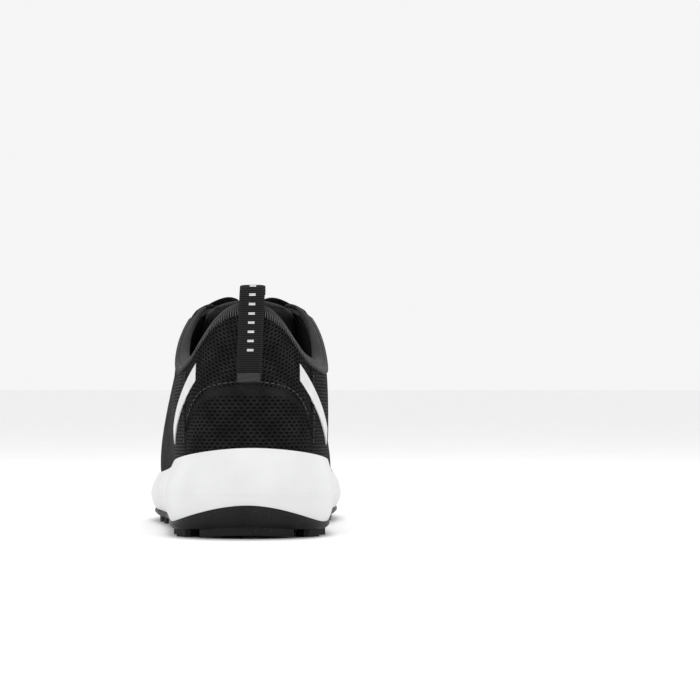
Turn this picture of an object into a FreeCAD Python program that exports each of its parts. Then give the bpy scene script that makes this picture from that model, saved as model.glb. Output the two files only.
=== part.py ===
"""A left golf shoe, spikeless, low cut, size about US 9. Millimetres, +Z up, toe towards +Y, inner side of the foot +X.

The origin is on the ground, under the middle of the shoe's bounding box. One form carries every piece: the outline of
the upper and of the sole at twelve stations round the shoe, counted from the back of the heel along the inner side to
the toe and back along the outer side, and a ridge that the two sides of the upper rise to. skin(u, w, depth) is a
point on that form: u is the station, w runs from -1 at the bottom edge through 0 at the widest place to 1 on the
ridge, and depth is measured inwards, square to the surface. Every layer of fabric, foam or board is a slab between
two depths of the form, with a small glue gap between neighbours, so the layers nest and never overlap.
"""

import FreeCAD, Part
import os
from math import pi, cos, sin, atan2, sqrt, hypot, radians

os.makedirs("parts", exist_ok=True)
Vector = FreeCAD.Vector

# ---- Driving dimensions ----------------------------------------------------------------------------------------
HALF_WAY = 6  # station of the toe; the heel is station 0 and, going round, 12
# name, upper outline x, y, sole outline x, y, height of the midsole's lip
STATIONS = [
    ("heel", 8.5, -140.0, 8.5, -146.0, 46.0),
    ("heel_medial", 39.3, -124.0, 42.5, -127.0, 43.0),
    ("ankle_medial", 48.5, -78.0, 51.0, -80.0, 37.5),
    ("arch_medial", 44.5, -25.0, 46.0, -22.0, 31.5),
    ("ball_medial", 48.5, 40.0, 54.0, 42.0, 28.0),
    ("toe_medial", 40.5, 107.0, 45.0, 110.5, 31.0),
    ("toe", 8.0, 139.5, 8.0, 146.0, 37.5),
    ("toe_lateral", -31.0, 113.0, -35.0, 117.0, 31.0),
    ("ball_lateral", -48.5, 48.0, -54.0, 50.0, 27.0),
    ("arch_lateral", -40.5, -10.0, -45.5, -8.0, 31.0),
    ("ankle_lateral", -33.5, -72.0, -37.5, -74.0, 36.5),
    ("heel_lateral", -22.5, -124.0, -27.5, -127.0, 42.0),
]
# The ridge from heel to toe, one row per station: x, y, z, squareness of the section, height of its widest place
RIDGE = [
    (9.0, -100.0, 142.0, 3.4, 62.0),
    (8.5, -88.0, 140.0, 3.4, 62.0),
    (7.5, -56.0, 132.0, 3.4, 58.0),
    (5.0, -18.0, 122.5, 3.1, 46.0),
    (3.0, 26.0, 94.0, 2.0, 30.0),
    (3.5, 72.0, 73.0, 2.1, 33.0),
    (5.5, 98.0, 66.5, 2.25, 40.0),
]
# Height of the outer fabric's top edge round the collar, by distance in stations from the heel
TOPLINE = [
    (0.0, 115.0), (0.3, 113.0), (0.55, 107.0), (0.75, 98.5), (0.95, 91.0),
    (1.25, 87.0), (1.65, 85.5), (2.05, 90.0), (2.35, 103.0), (2.65, 117.0),
]
LEAN = [(0.0, 0.0), (0.8, 0.5), (1.6, 3.0), (2.2, 1.2), (2.9, 0.0)]  # how far the collar's edge leans inwards
INNER_LEAN = 0.4  # the inner side leans this much of it
HOLLOW = [(2.0, 0.0), (2.6, 2.5), (3.4, 3.2), (4.4, 2.0), (5.2, 0.0)]  # flattening of the outer side's wall
TOE_TILT = [(4.3, 0.0), (5.1, 0.2), (6.0, 0.24)]  # slope of the toe box's top
COLLAR_END = 2.65  # station where the collar ends and the lace opening begins
THROAT_W = [(2.65, 0.63), (2.9, 0.69), (3.2, 0.76), (3.8, 0.83), (4.3, 0.878), (4.42, 0.915), (4.52, 1.0)]  # lace opening
TUCK = 3.0  # the upper's bottom edge lies this far inside its widest outline

TOE_SPRING, TOE_SPRING_Y = 14.0, 50.0
HEEL_BEVEL, HEEL_BEVEL_Y = 5.0, -112.0
SHOE_HALF_LENGTH = 146.0
LUG_HEIGHT, RUBBER_PLATE = 4.0, 3.0
HEEL_WRAP = 8.4  # how far the rubber climbs the back of the heel above its level at the sides
TOE_WRAP = 3.0
FOREFOOT_FLOOR, HEEL_RISE = 18.0, 11.0  # height of the board inside the shoe, and how much higher it is at the heel

GLUE = 0.1  # gap between layers
FABRIC = 1.4
COUNTER = 1.4
LINING = 0.8
COLLAR_THICK = 4.2  # extra depth of the collar's foam over the plain lining depth
ROLL_HEIGHT = 5.2  # how far the padded collar stands above the outer fabric's edge
BOARD, INSOLE_FOAM, INSOLE_COVER = 1.6, 4.2, 0.6
WEBBING_WIDTH, WEBBING = 12.5, 1.3
LACE_WIDTH, LACE_THICK = 6.0, 1.2
EYELETS = 6
EYELET_RADIUS = 2.8


# ---- The form --------------------------------------------------------------------------------------------------
def ring(points):
    """Controls of the closed cubic B-spline that passes through the points, one per station."""
    controls = list(points)
    count = len(points)
    for _ in range(48):
        controls = [
            (6 * points[k] - controls[k - 1] - controls[(k + 1) % count]) / 4 for k in range(count)
        ]
    return controls


def at(controls, u):
    count = len(controls)
    k = int(u // 1)
    t = u - k
    a, b, c, d = (controls[(k + i - 1) % count] for i in range(4))
    return (
        (1 - t) ** 3 * a + (3 * t**3 - 6 * t * t + 4) * b + (-3 * t**3 + 3 * t * t + 3 * t + 1) * c + t**3 * d
    ) / 6


def both_sides(column):
    return ring([RIDGE[min(k, 2 * HALF_WAY - k)][column] for k in range(2 * HALF_WAY)])


UPPER_X, UPPER_Y, SOLE_X, SOLE_Y, LIP_Z = (ring([row[j] for row in STATIONS]) for j in range(1, 6))
RIDGE_X, RIDGE_Y, RIDGE_Z, SQUARENESS, WIDEST_Z = (both_sides(j) for j in range(5))


def smooth(start, end, value):
    t = min(1.0, max(0.0, (value - start) / (end - start)))
    return t * t * (3 - 2 * t)


def from_heel(u):
    """Distance in stations from the heel, the same on both sides."""
    return min(u % 12, 12 - u % 12)


def keyed(keys, value):
    """A smooth curve through (place, value) keys."""
    if value <= keys[0][0]:
        return keys[0][1]
    if value >= keys[-1][0]:
        return keys[-1][1]
    i = max(j for j in range(len(keys)) if keys[j][0] <= value)

    def slope(j):
        if j == 0:
            return 0.0
        k = min(j + 1, len(keys) - 1)
        return (keys[k][1] - keys[j - 1][1]) / (keys[k][0] - keys[j - 1][0])

    h = keys[i + 1][0] - keys[i][0]
    t = (value - keys[i][0]) / h
    return (
        (2 * t**3 - 3 * t * t + 1) * keys[i][1]
        + (t**3 - 2 * t * t + t) * h * slope(i)
        + (3 * t * t - 2 * t**3) * keys[i + 1][1]
        + (t**3 - t * t) * h * slope(i + 1)
    )


def ground_rise(y):
    """How far the sole's walking face has lifted off the ground: toe spring and heel bevel."""
    toe = max(0.0, (y - TOE_SPRING_Y) / (SHOE_HALF_LENGTH - TOE_SPRING_Y))
    heel = max(0.0, (HEEL_BEVEL_Y - y) / (SHOE_HALF_LENGTH + HEEL_BEVEL_Y))
    return TOE_SPRING * toe**2 + HEEL_BEVEL * heel**2


def floor_z(y):
    """Underside of the upper, where the board lies on the midsole."""
    toe = max(0.0, (y - TOE_SPRING_Y) / (SHOE_HALF_LENGTH - TOE_SPRING_Y))
    return FOREFOOT_FLOOR + HEEL_RISE * (1 - smooth(-70.0, 40.0, y)) + 0.9 * TOE_SPRING * toe**2


def ridge(u):
    return at(RIDGE_X, u), at(RIDGE_Y, u)


def tilt(u):
    """How much lower the toe box's top would be at the outline than on the ridge."""
    return keyed(TOE_TILT, from_heel(u)) * (at(UPPER_Y, u) - at(RIDGE_Y, u))


def height_at(share, rise, wide_z, top_z, drop):
    return wide_z + (top_z - wide_z - drop) * rise + drop * share


def form(u, w):
    x, y = at(UPPER_X, u), at(UPPER_Y, u)
    rx, ry = ridge(u)
    reach = hypot(rx - x, ry - y)
    wide_z, top_z, n = at(WIDEST_Z, u), at(RIDGE_Z, u), at(SQUARENESS, u)
    if w < 0:
        share = TUCK * w * w / reach
        return x + (rx - x) * share, y + (ry - y) * share, wide_z + w * (wide_z - floor_z(y))
    angle = w * pi / 2
    r = (cos(angle) ** n + sin(angle) ** n) ** (-1 / n) if w < 1 else 1.0
    share, rise = 1 - r * cos(angle), r * sin(angle)
    z = height_at(share, rise, wide_z, top_z, tilt(u))
    around = from_heel(u)
    outer_side = u % 12 > 6
    lean = keyed(LEAN, around) * (1.0 if outer_side else INNER_LEAN)
    share += lean * ((z - wide_z) / (keyed(TOPLINE, around) - wide_z)) ** 2 / reach
    if outer_side:
        share += keyed(HOLLOW, around) * sin(2 * angle) ** 2 / reach
    return x + (rx - x) * share, y + (ry - y) * share, z


def normal_at(u, w):
    """The outward normal. On the ridge it is the mean of the two sides, so both sides meet there."""
    if w > 0.97:
        near, far = normal_at(u, 0.97), normal_at(12 - u, 0.97)
        share = 0.5 * (w - 0.97) / 0.03
        mixed = [(1 - share) * p + share * q for p, q in zip(near, far)]
        length = sqrt(sum(v * v for v in mixed))
        return [v / length for v in mixed]
    step = 1e-3
    ahead, behind = form(u + step, w), form(u - step, w)
    above, below = form(u, w + step), form(u, max(w - step, -1.0))
    a = [p - q for p, q in zip(ahead, behind)]
    b = [p - q for p, q in zip(above, below)]
    normal = (a[1] * b[2] - a[2] * b[1], a[2] * b[0] - a[0] * b[2], a[0] * b[1] - a[1] * b[0])
    length = sqrt(sum(v * v for v in normal))
    return [v / length for v in normal]


def skin(u, w, depth=0.0):
    point = form(u, w)
    if depth == 0:
        return point
    return tuple(p - depth * v for p, v in zip(point, normal_at(u, w)))


def w_at(u, z):
    """The w of the form at height z."""
    wide_z, top_z, n = at(WIDEST_Z, u), at(RIDGE_Z, u), at(SQUARENESS, u)
    if z < wide_z:
        return (z - wide_z) / (wide_z - floor_z(at(UPPER_Y, u)))
    drop = tilt(u)
    if drop == 0:
        rise = min(1.0, (z - wide_z) / (top_z - wide_z))
        return atan2(rise, (1 - rise**n) ** (1 / n)) / (pi / 2)
    low, high = 0.0, 1.0
    for _ in range(26):
        middle = (low + high) / 2
        angle = middle * pi / 2
        r = (cos(angle) ** n + sin(angle) ** n) ** (-1 / n)
        if height_at(1 - r * cos(angle), r * sin(angle), wide_z, top_z, drop) < z:
            low = middle
        else:
            high = middle
    return (low + high) / 2


def wall(u, z, depth=0.0):
    return skin(u, w_at(u, z), depth)


def edge_w(u):
    """The w of the outer fabric's free edge: the collar's topline, then the lace opening, then the closed toe."""
    around = from_heel(u)
    if around <= COLLAR_END:
        return w_at(u, keyed(TOPLINE, around))
    corner = w_at(u, keyed(TOPLINE, COLLAR_END))
    return corner + (keyed(THROAT_W, around) - corner) * smooth(COLLAR_END, COLLAR_END + 0.3, around)


# ---- Solids from grids of points -------------------------------------------------------------------------------
def poles_through(points):
    """Poles, knots and multiplicities of the curve through the points, which lie at even parameters."""
    curve = Part.BSplineCurve()
    last = len(points) - 1
    curve.interpolate(Points=points, Parameters=[i / last for i in range(last + 1)])
    return curve.getPoles(), curve.getKnots(), curve.getMultiplicities()


def grid_face(grid):
    """The face through a grid of points. Faces that share a border row of points share that edge exactly."""
    rows = [poles_through([Vector(*p) for p in row]) for row in grid]
    columns = [poles_through([row[0][j] for row in rows]) for j in range(len(rows[0][0]))]
    poles = [[column[0][i] for column in columns] for i in range(len(columns[0][0]))]
    surface = Part.BSplineSurface()
    surface.buildFromPolesMultsKnots(
        poles, columns[0][2], rows[0][2], columns[0][1], rows[0][1], False, False, 3, 3
    )
    return surface.toShape()


def line_edge(points):
    curve = Part.BSplineCurve()
    last = len(points) - 1
    curve.interpolate(
        Points=[Vector(*p) for p in points], Parameters=[i / last for i in range(last + 1)]
    )
    return curve.toShape()


def strip_face(first, second):
    """The ruled face between two rows of points."""
    return Part.makeRuledSurface(line_edge(first), line_edge(second), 1)


def closed_solid(faces):
    group = Part.Compound(faces)
    group.sewShape(1e-4)
    solid = Part.makeSolid(group.Shells[0] if group.Shells else Part.makeShell(group.Faces))
    if solid.Volume < 0:
        solid.reverse()
    if not solid.isValid() or not solid.isClosed():
        raise ValueError(f"open or invalid solid: {len(faces)} faces, volume {solid.Volume:.1f}")
    return solid


def slab(front, back, across, along):
    """A solid between front(s, t) and back(s, t), for s and t from 0 to 1."""
    s = [i / across for i in range(across + 1)]
    t = [j / along for j in range(along + 1)]
    outer = [[front(a, b) for b in t] for a in s]
    inner = [[back(a, b) for b in t] for a in s]
    sides = [
        strip_face(outer[0], inner[0]),
        strip_face(outer[-1], inner[-1]),
        strip_face([row[0] for row in outer], [row[0] for row in inner]),
        strip_face([row[-1] for row in outer], [row[-1] for row in inner]),
    ]
    return closed_solid([grid_face(outer), grid_face(inner), *sides])


def save(name, *solids):
    shape = solids[0] if len(solids) == 1 else Part.makeCompound(list(solids))
    shape.exportStep(f"parts/{name}.step")
    box = shape.BoundBox
    print(f"{name:22s} {len(shape.Solids):3d} solids {sum(s.Volume for s in shape.Solids):10.1f} mm3 "
          f"x {box.XMin:6.1f} {box.XMax:6.1f}  y {box.YMin:7.1f} {box.YMax:7.1f}  z {box.ZMin:6.1f} {box.ZMax:6.1f}")


# ---- The sole's outside ----------------------------------------------------------------------------------------
def border_z(u):
    """Height of the border between the rubber and the foam."""
    around = from_heel(u)
    y = at(SOLE_Y, u)
    rise_at_heel = ground_rise(y) if y < 0 else 0.0
    heel = HEEL_WRAP * (1 - smooth(0.0, 1.5, around)) - 0.7 * rise_at_heel
    toe = TOE_WRAP * smooth(5.1, 6.0, around)
    return ground_rise(y) + LUG_HEIGHT + RUBBER_PLATE + 0.5 + heel + toe


def outwards(u):
    x, y = at(SOLE_X, u), at(SOLE_Y, u)
    rx, ry = ridge(u)
    length = hypot(x - rx, y - ry)
    return (x - rx) / length, (y - ry) / length


def parabola(t, middle_t, first, middle, last):
    a = (t - middle_t) * (t - 1) / middle_t
    b = t * (t - 1) / (middle_t * (middle_t - 1))
    c = t * (t - middle_t) / (1 - middle_t)
    return tuple(a * p + b * q + c * r for p, q, r in zip(first, middle, last))


def sole_wall(u, t):
    """The outside of the foam, t from 0 at the rubber to 1 at the lip."""
    x, y, lip = at(SOLE_X, u), at(SOLE_Y, u), at(LIP_Z, u)
    dx, dy = outwards(u)
    low = border_z(u) + GLUE
    top = wall(u, lip)
    return parabola(
        t, 0.35,
        (x - 3.0 * dx, y - 3.0 * dy, low),
        (x, y, low + 0.3 * (lip - low)),
        (top[0] + 1.4 * dx, top[1] + 1.4 * dy, lip),
    )


# ---- Building blocks for layers and discs ----------------------------------------------------------------------
def panel(u0, u1, bottom, top, outer, inner, around=16, up=14):
    """A layer of the upper between stations u0 and u1; bottom(u) and top(u) give w; outer and inner are depths."""

    def face(depth):
        def point(s, t):
            u = u0 + (u1 - u0) * s
            low, high = bottom(u), top(u)
            return skin(u, low + (high - low) * t, depth)

        return point

    return slab(face(outer), face(inner), around, up)


def half_grids(point, around=40, along=8):
    """Two faces of point(u, t) for the inner half, stations 0 to 6, and the outer half, stations 12 to 6."""
    faces = []
    for start, step in ((0.0, 6.0 / around), (12.0, -6.0 / around)):
        rows = [[point(start + i * step, j / along) for j in range(along + 1)] for i in range(around + 1)]
        faces.append(grid_face(rows))
    return faces


def disc(outline, sheet):
    """A point function for a disc: outline(u) is its edge and sheet(y) its height away from the edge."""

    def point(u, t):
        x, y, z = outline(u)
        rx, ry = ridge(min(u, 12 - u))
        px, py = x + (rx - x) * t, y + (ry - y) * t
        return px, py, sheet(py) + (z - sheet(y)) * (1 - t) ** 3

    return point


def mix(a, b, t):
    return tuple((1 - t) * p + t * q for p, q in zip(a, b))


def ruled(low, high):
    return lambda u, t: mix(low(u), high(u), t)


def drum(bottom_edge, top_edge, bottom_sheet, top_sheet, side=None):
    """A closed disc-like solid with its own edge curves and height functions."""
    faces = half_grids(side or ruled(bottom_edge, top_edge), along=4)
    faces += half_grids(disc(bottom_edge, bottom_sheet))
    faces += half_grids(disc(top_edge, top_sheet))
    return closed_solid(faces)


def inner_outline(height, depth):
    """The inside of the upper, `height` above the floor and `depth` inside the skin."""
    return lambda u: wall(u, floor_z(at(UPPER_Y, u)) + height, depth)


def flat(height):
    return lambda y: floor_z(y) + height


# ---- Pieces: board, insole ----------------------------------------------------------------------------------------
LINING_FACE = 3.8  # depth of the lining's visible side, where the collar isn't padded
INSIDE = LINING_FACE + 0.15
strobel_board = drum(inner_outline(0.1, INSIDE), inner_outline(BOARD, INSIDE), flat(0.1), flat(BOARD))
foam_low, foam_high = BOARD + GLUE, BOARD + GLUE + INSOLE_FOAM
sockliner_foam = drum(
    inner_outline(foam_low, INSIDE + 0.3), inner_outline(foam_high, INSIDE + 0.3), flat(foam_low), flat(foam_high)
)
cover_low, cover_high = foam_high + 0.05, foam_high + 0.05 + INSOLE_COVER
sockliner_cover = drum(
    inner_outline(cover_low, INSIDE + 0.4), inner_outline(cover_high, INSIDE + 0.4), flat(cover_low), flat(cover_high)
)
save("strobel_board", strobel_board)
save("sockliner_foam", sockliner_foam)
save("sockliner_cover", sockliner_cover)


# ---- Pieces: midsole and outsole -----------------------------------------------------------------------------------
def bottom_sheet(y):
    return ground_rise(y) + LUG_HEIGHT + RUBBER_PLATE


def inner_wall(u, t):
    """Inside of the foam's cup, from the floor (t 0) to the lip (t 1), one glue gap outside the upper."""
    lip = at(LIP_Z, u)
    floor = floor_z(at(UPPER_Y, u))
    return wall(u, floor + (lip - floor) * t, -GLUE)


def midsole_solid():
    faces = half_grids(sole_wall, along=8)
    faces += half_grids(inner_wall, along=6)
    faces += half_grids(ruled(lambda u: inner_wall(u, 1.0), lambda u: sole_wall(u, 1.0)), along=4)
    faces += half_grids(disc(lambda u: inner_wall(u, 0.0), flat(0.0)))
    faces += half_grids(disc(lambda u: sole_wall(u, 0.0), lambda y: bottom_sheet(y) + GLUE))
    return closed_solid(faces)


save("midsole", midsole_solid())


def rubber_edge(u):
    """Lower edge of the rubber plate: it slopes in under the heel and the toe."""
    x, y = at(SOLE_X, u), at(SOLE_Y, u)
    dx, dy = outwards(u)
    inset = 4.0 + 8.0 * (1 - smooth(0.5, 1.3, from_heel(u))) + 4.0 * smooth(5.0, 6.0, from_heel(u))
    px, py = x - inset * dx, y - inset * dy
    return px, py, ground_rise(py) + LUG_HEIGHT


def rubber_top(u):
    x, y, z = sole_wall(u, 0.0)
    return x, y, z - GLUE


def rubber_side(u, t):
    x, y, z = mix(rubber_edge(u), rubber_top(u), t)
    dx, dy = outwards(u)
    bulge = 1.2 * 4 * t * (1 - t)
    return x + bulge * dx, y + bulge * dy, z


plate = drum(rubber_edge, rubber_top, lambda y: ground_rise(y) + LUG_HEIGHT, bottom_sheet, side=rubber_side)


def block(x, y, angle, length, width, height):
    """A lug: a block with its corners cut, its long side turned by angle from the X axis, from below the ground."""
    cut = 0.22 * width
    a, b = length / 2, width / 2
    outline = [
        (-a + cut, -b), (a - cut, -b), (a, -b + cut), (a, b - cut),
        (a - cut, b), (-a + cut, b), (-a, b - cut), (-a, -b + cut),
    ]
    points = [
        Vector(x + p * cos(angle) - q * sin(angle), y + p * sin(angle) + q * cos(angle), -2.0)
        for p, q in outline
    ]
    return Part.Face(Part.makePolygon(points + points[:1])).extrude(Vector(0, 0, height + 2.0))


def lug_places():
    """Rim lugs all round, then rows of small ones between them: x, y, angle, length, width."""
    places = []
    count = 34
    for k in range(count):
        u = 12.0 * (k + 0.5) / count
        x, y, _ = rubber_edge(u)
        dx, dy = outwards(u)
        if y > 128 or from_heel(u) < HEEL_LUG_END + 0.15:
            continue
        places.append((x - 7.5 * dx, y - 7.5 * dy, atan2(dx, -dy), 11.0, 9.0))
    for row in range(17):
        y = -112.0 + 14.0 * row
        if -34.0 < y < 6.0:
            continue
        left, right = width_at(y)
        room = right - left - 38.0
        across = max(1, int(room // 13.0) + row % 2)
        for k in range(across):
            x = left + 19.0 + room * (k + 0.5) / across
            places.append((x, y, radians(45 if (k + row) % 2 else -45), 7.0, 4.6))
    return places


def width_at(y):
    """Left and right edges of the rubber at y."""
    found = []
    for start, step in ((12.0, -0.02), (0.0, 0.02)):
        u = start
        while at(SOLE_Y, u) < y:
            u += step
        found.append(rubber_edge(u)[0])
    return found


HEEL_LUG_END = 0.8  # one long lug follows the heel's edge out to this station on both sides


def heel_lug():
    """The smooth crescent that the heel lands on."""
    stations = [HEEL_LUG_END * (k / 8 - 1) for k in range(17)]
    points = []
    for row, inset in ((stations, 0.6), (stations[::-1], 13.0)):
        for u in row:
            x, y, _ = rubber_edge(u)
            dx, dy = outwards(u)
            points.append(Vector(x - inset * dx, y - inset * dy, -2))
    outline = Part.makePolygon([*points, points[0]])
    return Part.Face(outline).extrude(Vector(0, 0, 2 + LUG_HEIGHT + RUBBER_PLATE - 0.1))


def outsole_solid():
    lugs = [heel_lug()]
    for x, y, angle, length, width in lug_places():
        rise = ground_rise(y)
        lugs.append(block(x, y, angle, length, width, rise + LUG_HEIGHT + 1.2))
    # The lugs end on the walking face, which is flat in the middle and lifts at the heel and the toe
    reach = SHOE_HALF_LENGTH + 4
    stops = [-reach + i * 2 * reach / 60 for i in range(61)]
    walking = [Vector(-80, y, ground_rise(y)) for y in stops]
    below = [Vector(-80, reach, -10), Vector(-80, -reach, -10)]
    under = Part.Face(Part.makePolygon([*walking, *below, walking[0]])).extrude(Vector(160, 0, 0))
    lugs = [lug.cut(under) for lug in lugs]
    return plate.fuse(lugs).removeSplitter()


save("outsole", outsole_solid().Solids[0])


# ---- Pieces: the upper's outside -------------------------------------------------------------------------------
SEAM = 0.0025  # half the gap between neighbouring panels, in stations
HEEL_EDGE = 1.08  # station where the heel panels meet the quarters
TOE_SEAM = 4.52  # station where the quarters meet the vamp
ARCH_SEAM = [(0.0, 77.5), (0.45, 76.0), (0.75, 71.0), (0.95, 61.0), (1.1, 47.0)]  # height of the arched heel seam


def seam_w(u, shift=0.0):
    return w_at(u, keyed(ARCH_SEAM, from_heel(u)) + shift)


def bottom_w(u):
    return -1.0


def both(u):
    """A span of stations on the inner side and its mirror on the outer side."""
    return u, tuple(12 - v for v in reversed(u))


def quarter(span, outer, inner, trim=0.0):
    return panel(*span, bottom_w, lambda u: edge_w(u) - trim, outer, inner, around=36, up=18)


heel_span = (-HEEL_EDGE + SEAM, HEEL_EDGE - SEAM)
save("heel_panel_lower", panel(*heel_span, bottom_w, lambda u: seam_w(u, -0.1), 0, FABRIC, around=24))
save("heel_panel_upper", panel(*heel_span, lambda u: seam_w(u, 0.1), edge_w, 0, FABRIC, around=24))
medial_span, lateral_span = both((HEEL_EDGE + SEAM, TOE_SEAM - SEAM))


def closed_toe(outer, inner, first=TOE_SEAM + SEAM, low=-1.0):
    """A layer over the toe: two halves that meet on the ridge and on the toe's centre line."""
    faces = []
    rims = []
    for depth in (outer, inner):
        sides = []
        for sign in (1, -1):
            rows = []
            for i in range(21):
                v = first + (6 - first) * i / 20
                u = v if sign > 0 else 12 - v
                rows.append([skin(u, low + (1 - low) * j / 20, depth) for j in range(21)])
            sides.append(rows)
            faces.append(grid_face(rows))
        rims.append(sides)
    for side in (0, 1):
        front, back = rims[0][side], rims[1][side]
        faces.append(strip_face([row[0] for row in front], [row[0] for row in back]))
        faces.append(strip_face(front[0], back[0]))
    return closed_solid(faces)


save("vamp", closed_toe(0, FABRIC))
save("vamp_lining", closed_toe(3.0, LINING_FACE))


# ---- Pieces: stiffeners and padding between the fabric and the lining ------------------------------------------
COUNTER_TOP = [(0.0, 70.0), (0.5, 64.0), (0.95, 50.0), (1.3, 45.5), (1.7, 43.0)]
PAD_BOTTOM = [(0.0, 73.0), (0.5, 68.0), (0.95, 53.5), (1.3, 48.5), (1.7, 46.0)]
COUNTER_END = 1.66
PAD_TURN = (1.72, 2.0)


def layer_bottom_z(u):
    return floor_z(at(UPPER_Y, u)) + 0.3


save("heel_counter", panel(
    -COUNTER_END, COUNTER_END, lambda u: w_at(u, layer_bottom_z(u)),
    lambda u: w_at(u, keyed(COUNTER_TOP, from_heel(u))), FABRIC + GLUE, FABRIC + GLUE + COUNTER, around=30, up=10,
))
save("toe_puff", panel(
    5.1, 6.9, lambda u: w_at(u, layer_bottom_z(u)), lambda u: 0.45, FABRIC + GLUE, FABRIC + GLUE + 1.3,
    around=20, up=10,
))
front_span, front_mirror = both((COLLAR_END + 0.03, TOE_SEAM - SEAM))

# ---- Pieces: the padded collar ---------------------------------------------------------------------------------
# Section of the collar lining's visible face, from the topline over the roll and down inside: depth, and height
# above the topline
ROLL = [
    (0.6, 0.5), (0.9, 2.7), (2.4, 4.7), (4.6, 5.2), (6.7, 4.2), (8.3, 1.0),
    (9.0, -5.0), (9.0, -14.0), (7.8, -23.0), (5.6, -31.0), (3.8, -38.0),
]
THIN_DEPTH = [0.6, 0.8, 1.4, 2.3, 3.1, 3.6, 3.8, 3.8, 3.8, 3.8, 3.8]  # the same where the padding has run out
ROLL_PLACES = [(i, i) for i in range(len(ROLL))]


def roll_section(u, i, inset=0.0):
    """Depth and height z of the section at place i (0 to 10), moved into the padding by inset."""

    def place(k):
        full = keyed([(j, p[0]) for j, p in enumerate(ROLL)], k)
        thin = keyed(list(enumerate(THIN_DEPTH)), k)
        fade = smooth(1.8, COLLAR_END, from_heel(u))
        return full + (thin - full) * fade, keyed([(j, p[1]) for j, p in enumerate(ROLL)], k)

    top = keyed(TOPLINE, from_heel(u))
    d, h = place(i)
    if inset:
        d0, h0 = place(max(i - 0.02, 0.0))
        d1, h1 = place(min(i + 0.02, 10.0))
        length = hypot(d1 - d0, h1 - h0)
        d, h = d + inset * (h1 - h0) / length, h - inset * (d1 - d0) / length
    return d, top + h


def roll_point(u, i, inset=0.0):
    """A point of the collar's lining; beyond place 10 it runs straight down to the floor at place 12."""
    if i <= 10:
        d, z = roll_section(u, i, inset)
        return wall(u, z, d)
    d, z = roll_section(u, 10, inset)
    low = layer_bottom_z(u)
    return wall(u, z + (low - z) * (i - 10) / 2, d)


LINING_SPAN = COLLAR_END - SEAM


def collar_lining_face(inset):
    def point(s, t):
        u = LINING_SPAN * (2 * s - 1)
        return roll_point(u, 12 * t, inset)

    return point


save("collar_lining", slab(collar_lining_face(0.0), collar_lining_face(LINING), 64, 48))

FOAM_INSET = LINING + GLUE + 0.06


def foam_bottom(u):
    around = from_heel(u)
    return keyed(PAD_BOTTOM, around) + (layer_bottom_z(u) + 1 - keyed(PAD_BOTTOM, around)) * smooth(*PAD_TURN, around)


def foam_outer(s, t):
    u = LINING_SPAN * (2 * s - 1)
    top = keyed(TOPLINE, from_heel(u)) - 0.6
    low = foam_bottom(u)
    if t <= 0.7:
        return wall(u, low + (top - low) * t / 0.7, FABRIC + GLUE)
    return roll_point(u, 0.35 + 2.65 * (t - 0.7) / 0.3, FOAM_INSET)


def foam_inner(s, t):
    u = LINING_SPAN * (2 * s - 1)
    low = foam_bottom(u)
    first, last = 3.0, 12.0
    for _ in range(24):
        middle = (first + last) / 2
        z = roll_section(u, middle)[1] if middle <= 10 else (
            roll_section(u, 10)[1] + (layer_bottom_z(u) - roll_section(u, 10)[1]) * (middle - 10) / 2
        )
        if z > low:
            first = middle
        else:
            last = middle
    return roll_point(u, first + (3.3 - first) * t, FOAM_INSET)


save("collar_foam", slab(foam_outer, foam_inner, 64, 30))


# ---- Pieces: eyestays, stripes ---------------------------------------------------------------------------------
STAY_WIDTH, STAY_THICK, STAY_GAP = 14.0, 0.9, 0.12
STAY_SPAN = (2.70, 4.47)
HOLE_FROM_EDGE = 7.0
ROWS = [4.26 - 0.226 * k for k in range(EYELETS)]
SPARE_ROW = 2.86  # an extra pair of eyelets above the knot, left unlaced


def from_edge(u, distance):
    """The w that lies `distance` along the skin from the free edge."""
    w = edge_w(u)
    before = skin(u, w)
    run = 0.0
    while run < distance:
        w -= 0.004
        here = skin(u, w)
        run += sqrt(sum((p - q) ** 2 for p, q in zip(here, before)))
        before = here
    return w


def hole_axis(u):
    """A cylinder along an eyelet's axis."""
    w = from_edge(u, HOLE_FROM_EDGE)
    normal = normal_at(u, w)
    start = Vector(*skin(u, w, 8.0))
    return Part.makeCylinder(EYELET_RADIUS, 12.0, start, Vector(*normal))


def side_station(v, side):
    """Station on the inner side (side 1) or the outer side (side -1)."""
    return v if side > 0 else 12 - v


def punched(solid, side):
    return solid.cut([hole_axis(side_station(v, side)) for v in [*ROWS, SPARE_ROW]])


for side, word in ((1, "medial"), (-1, "lateral")):
    span = STAY_SPAN if side > 0 else tuple(12 - v for v in reversed(STAY_SPAN))
    stay = panel(
        *span, lambda u: from_edge(u, STAY_WIDTH), lambda u: edge_w(u) - 0.003, -STAY_THICK - STAY_GAP, -STAY_GAP,
        around=40, up=6,
    )
    save(f"eyestay_{word}", punched(stay, side))
    quarter_span = medial_span if side > 0 else lateral_span
    throat_span = front_span if side > 0 else front_mirror
    save(f"quarter_{word}", punched(quarter(quarter_span, 0, FABRIC), side))
    save(f"quarter_padding_{word}", punched(quarter(throat_span, FABRIC + GLUE, 2.9, trim=0.004), side))
    save(f"quarter_lining_{word}", punched(quarter(throat_span, 3.0, LINING_FACE), side))

STRIPE_TOP, STRIPE_END = (0.80, 84.0), (1.62, 51.0)  # station and height of the stripe's upper and lower end
STRIPE_HALF_HEIGHT, STRIPE_THICK = 4.2, 0.6


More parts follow.
